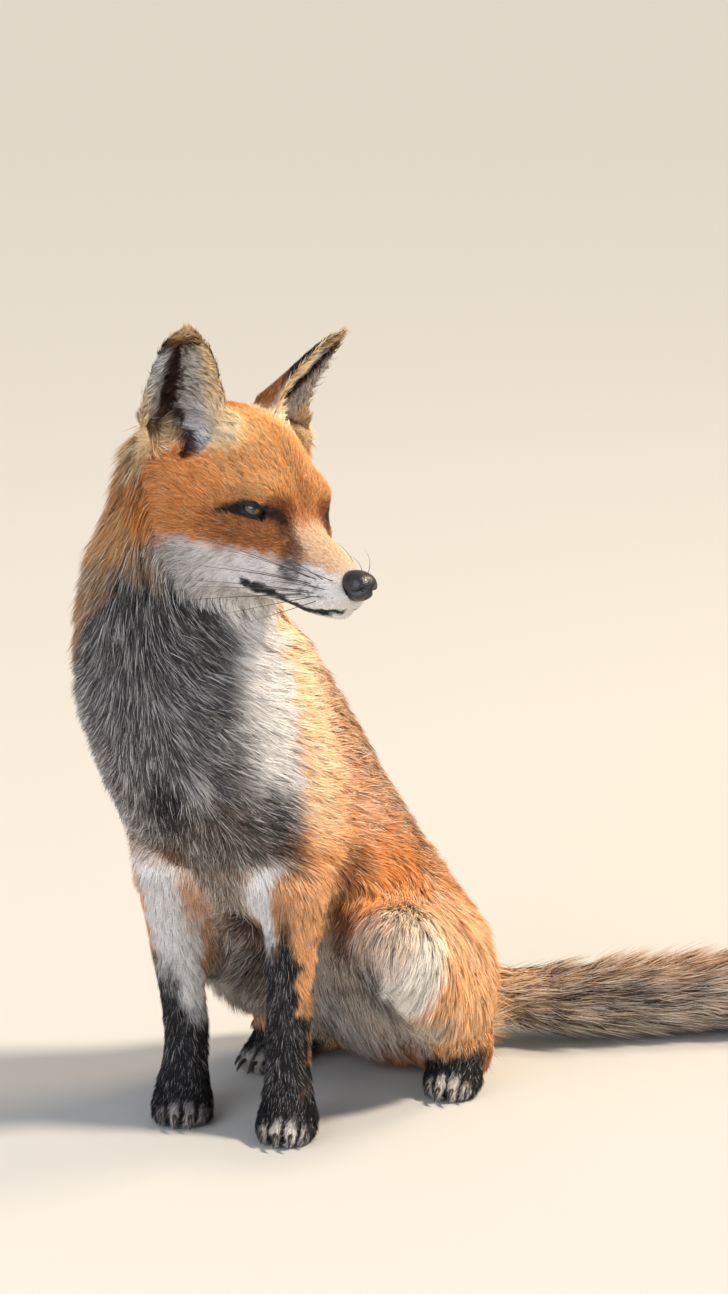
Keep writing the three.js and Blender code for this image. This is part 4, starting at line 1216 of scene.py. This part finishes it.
def unwrap(chosen):
    """Where each chosen hair's root is on an unwrap of the skin under them."""
    triangles = owner[chosen]
    used, place_of = np.unique(triangle_face[triangles], return_inverse=True)
    loops_of = [np.arange(a, a + c) for a, c in zip(face_start[used], face_size[used])]
    loops = np.concatenate(loops_of)
    points, corners_of = np.unique(loop_point[loops], return_inverse=True)
    first = np.concatenate(((0,), np.cumsum(face_size[used])))[:-1]
    faces = [corners_of[a : a + c].tolist() for a, c in zip(first, face_size[used])]
    mesh = bpy.data.meshes.new("unwrap")
    mesh.from_pydata(skin_points[points].tolist(), [], faces)
    mesh.uv_layers.new(name="map")
    patch = bpy.data.objects.new("unwrap", mesh)
    bpy.context.scene.collection.objects.link(patch)
    bpy.ops.object.select_all(action="DESELECT")
    patch.select_set(True)
    bpy.context.view_layer.objects.active = patch
    bpy.ops.object.mode_set(mode="EDIT")
    bpy.ops.mesh.select_all(action="SELECT")
    bpy.ops.uv.smart_project(angle_limit=math.radians(60), island_margin=0.004)
    bpy.ops.object.mode_set(mode="OBJECT")
    flat_map = np.empty(len(loops) * 2, np.float32)
    mesh.uv_layers["map"].data.foreach_get("uv", flat_map)
    flat_map = flat_map.reshape(-1, 2)
    bpy.data.objects.remove(patch)
    bpy.data.meshes.remove(mesh)
    corner = triangle_loops[triangles] - face_start[triangle_face[triangles]][:, None]
    return np.einsum("ij,ijk->ik", weights[chosen], flat_map[first[place_of][:, None] + corner])


PATCH = 0.003  # how wide each hair is on the map


def blades(name, chosen, bent):
    """Joins the chosen hairs into one piece, each a thin blade drawn to a point."""
    n = int(chosen.sum())
    r, t = sunk[chosen], tip[chosen]
    f, w = flat[chosen], half[chosen][:, None]
    rows = [(r - f * w, r + f * w)]
    shades = [root_colour[chosen]] * 2
    if bent:
        m = bend[chosen]
        rows.append((m - f * w * 0.8, m + f * w * 0.8))
        shades += [mid_colour[chosen]] * 2
    points = np.stack([p for row in rows for p in row] + [t], axis=1)
    shades = np.stack(shades + [tip_colour[chosen]], axis=1)
    pattern = [(0, 1, 3), (0, 3, 2), (2, 3, 4)] if bent else [(0, 1, 2)]
    size = points.shape[1]
    faces = (np.array(pattern)[None] + (np.arange(n) * size)[:, None, None]).reshape(-1, 3)
    mesh = bpy.data.meshes.new(name)
    mesh.vertices.add(n * size)
    mesh.vertices.foreach_set("co", points.astype(np.float32).ravel())
    mesh.loops.add(len(faces) * 3)
    mesh.loops.foreach_set("vertex_index", faces.astype(np.int32).ravel())
    mesh.polygons.add(len(faces))
    mesh.polygons.foreach_set("loop_start", np.arange(len(faces), dtype=np.int32) * 3)
    mesh.polygons.foreach_set("use_smooth", np.ones(len(faces), bool))
    mesh.update(calc_edges=True)
    shade = np.ones((n * size, 4), np.float32)
    shade[:, :3] = shades.reshape(-1, 3)
    mesh.color_attributes.new("markings", "FLOAT_COLOR", "POINT").data.foreach_set("color", shade.ravel())
    spots = [(-0.5, -0.5), (0.5, -0.5)]
    spots += [(-0.4, 0.1), (0.4, 0.1)] if bent else []
    spots = np.array(spots + [(0, 0.5)]) * PATCH
    on_map = np.clip(unwrap(chosen), PATCH, 1 - PATCH)[:, None] + spots
    layer = mesh.uv_layers.new(name="OFBake")
    layer.data.foreach_set("uv", on_map.reshape(-1, 2)[faces.ravel()].astype(np.float32).ravel())
    piece = bpy.data.objects.new(name, mesh)
    bpy.context.scene.collection.objects.link(piece)
    mesh.materials.append(hair_material)
    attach(piece, "root")


# Fox hair: satin, with the markings' colour, and small changes of tone from hair to hair.
hair_material, shader = new_material("fox guard hair")
coloured = add(hair_material, "ShaderNodeVertexColor", layer_name="markings")
place = add(hair_material, "ShaderNodeTexCoord")
grain = add(hair_material, "ShaderNodeTexNoise", {"Vector": (place, "Object"), "Scale": 700, "Detail": 2})
change = add(hair_material, "ShaderNodeMapRange", {"Value": (grain, "Fac"), "To Min": 0.82, "To Max": 1.18})
inputs = {"Color": (coloured, "Color"), "Value": (change, "Result")}
toned = add(hair_material, "ShaderNodeHueSaturation", inputs)
join(hair_material, toned, "Color", shader, "Base Color")
shader.inputs["Roughness"].default_value = 0.55
shader.inputs["Specular IOR Level"].default_value = 0.3

# One piece for each region. The large ones are parted along the middle of the body.
region = np.argmax(np.stack([at_roots(values) for values in share.values()], axis=1), axis=1)
leftward, behind = off_middle(in_body(root))
left, ahead = leftward > 0, behind < 0
LONG = {"tail", "ear_in"}
for i, name in enumerate(share):
    here = region == i
    if name in ("ear_in", "ear"):
        blades("coat_" + name, here, name in LONG)
    elif name in ("thigh", "neck"):
        blades(f"coat_{name}_left", here & left, True)
        blades(f"coat_{name}_right", here & ~left, True)
    elif name == "trunk":
        blades("coat_chest_left", here & ahead & left, True)
        blades("coat_chest_right", here & ahead & ~left, True)
        blades("coat_flank_left", here & ~ahead & left, True)
        blades("coat_flank_right", here & ~ahead & ~left, True)
    elif name == "face":
        blades("coat_face_left", here & (in_head(root)[:, 1] > 0), False)
        blades("coat_face_right", here & (in_head(root)[:, 1] <= 0), False)
    else:
        blades("coat_" + name, here, name in LONG)

# Underfur: soft and dull, with fine tangled bumps, and darker than the hair over it: partly its own greyer
# tone, partly painted shade under the coat, deepest where the hairs' roots are darkest.
under, shader = new_material("fox underfur")
coloured = add(under, "ShaderNodeVertexColor", layer_name="markings")
place = add(under, "ShaderNodeTexCoord")
tangle = add(under, "ShaderNodeTexNoise", {"Vector": (place, "Object"), "Scale": 900, "Detail": 4})
change = add(under, "ShaderNodeMapRange", {"Value": (tangle, "Fac"), "To Min": 0.6, "To Max": 1.35})
toned = add(under, "ShaderNodeHueSaturation", {"Color": (coloured, "Color"), "Value": (change, "Result")})
join(under, toned, "Color", shader, "Base Color")
bump = add(under, "ShaderNodeBump", {"Height": (tangle, "Fac"), "Strength": 0.6, "Distance": 0.001})
join(under, bump, "Normal", shader, "Normal")
shader.inputs["Roughness"].default_value = 0.9
skin.data.materials.append(under)
shade = np.ones((len(skin_points), 4), np.float32)
# Painted shade under the hairs, on the underfur's own greyer tone: the markings darkened to 0.72 and below.
shade[:, :3] = colour * (0.72 - 0.5 * bands_and_shade)[:, None]
skin.data.color_attributes.new("markings", "FLOAT_COLOR", "POINT").data.foreach_set("color", shade.ravel())

# ---- Floor and light ----
# A wide matt plaster floor in a pale studio, lit by a sun-like key high on the fox's left, a large cool
# fill in front and a small warm lamp behind.
FLOOR_SIZE = 90
bpy.ops.object.select_all(action="DESELECT")
bpy.ops.mesh.primitive_plane_add(size=FLOOR_SIZE, location=(0, 0, 0))
floor = bpy.context.active_object
floor.name = "floor"
plaster, shader = new_material("pale plaster floor")
shader.inputs["Base Color"].default_value = (*linear("#c6c4c0"), 1)
shader.inputs["Roughness"].default_value = 0.9
floor.data.materials.append(plaster)

world = bpy.data.worlds.new("studio")
world.use_nodes = True
sky = world.node_tree.nodes["Background"]
sky.inputs["Color"].default_value = (*linear("#e6eaee"), 1)
sky.inputs["Strength"].default_value = 0.5
bpy.context.scene.world = world
bpy.context.scene.view_settings.view_transform = "Standard"


def lamp(name, kind, turn, height, distance, size, power, colour):
    """A lamp that looks at the fox's chest from `turn` degrees round it. A sun's size is its angle."""
    data = bpy.data.lights.new(name, kind)
    data.energy = power
    data.color = tuple(linear(colour))
    if kind == "AREA":
        data.size = size
    else:
        data.angle = math.radians(size)
    light = bpy.data.objects.new(name, data)
    a = math.radians(turn)
    centre = Vector((0, 0, 0.3))
    light.location = Vector((math.sin(a) * distance, -math.cos(a) * distance, height))
    light.rotation_euler = (centre - light.location).to_track_quat("-Z", "Y").to_euler()
    bpy.context.scene.collection.objects.link(light)


lamp("key light", "SUN", 112, 2.8, 2.2, 9, 3.9, "#fff0da")
lamp("fill light", "AREA", -10, 1.4, 2.4, 1.8, 33, "#e8efff")
lamp("rim light", "AREA", 150, 2.2, 1.6, 0.7, 30, "#ffe6bf")
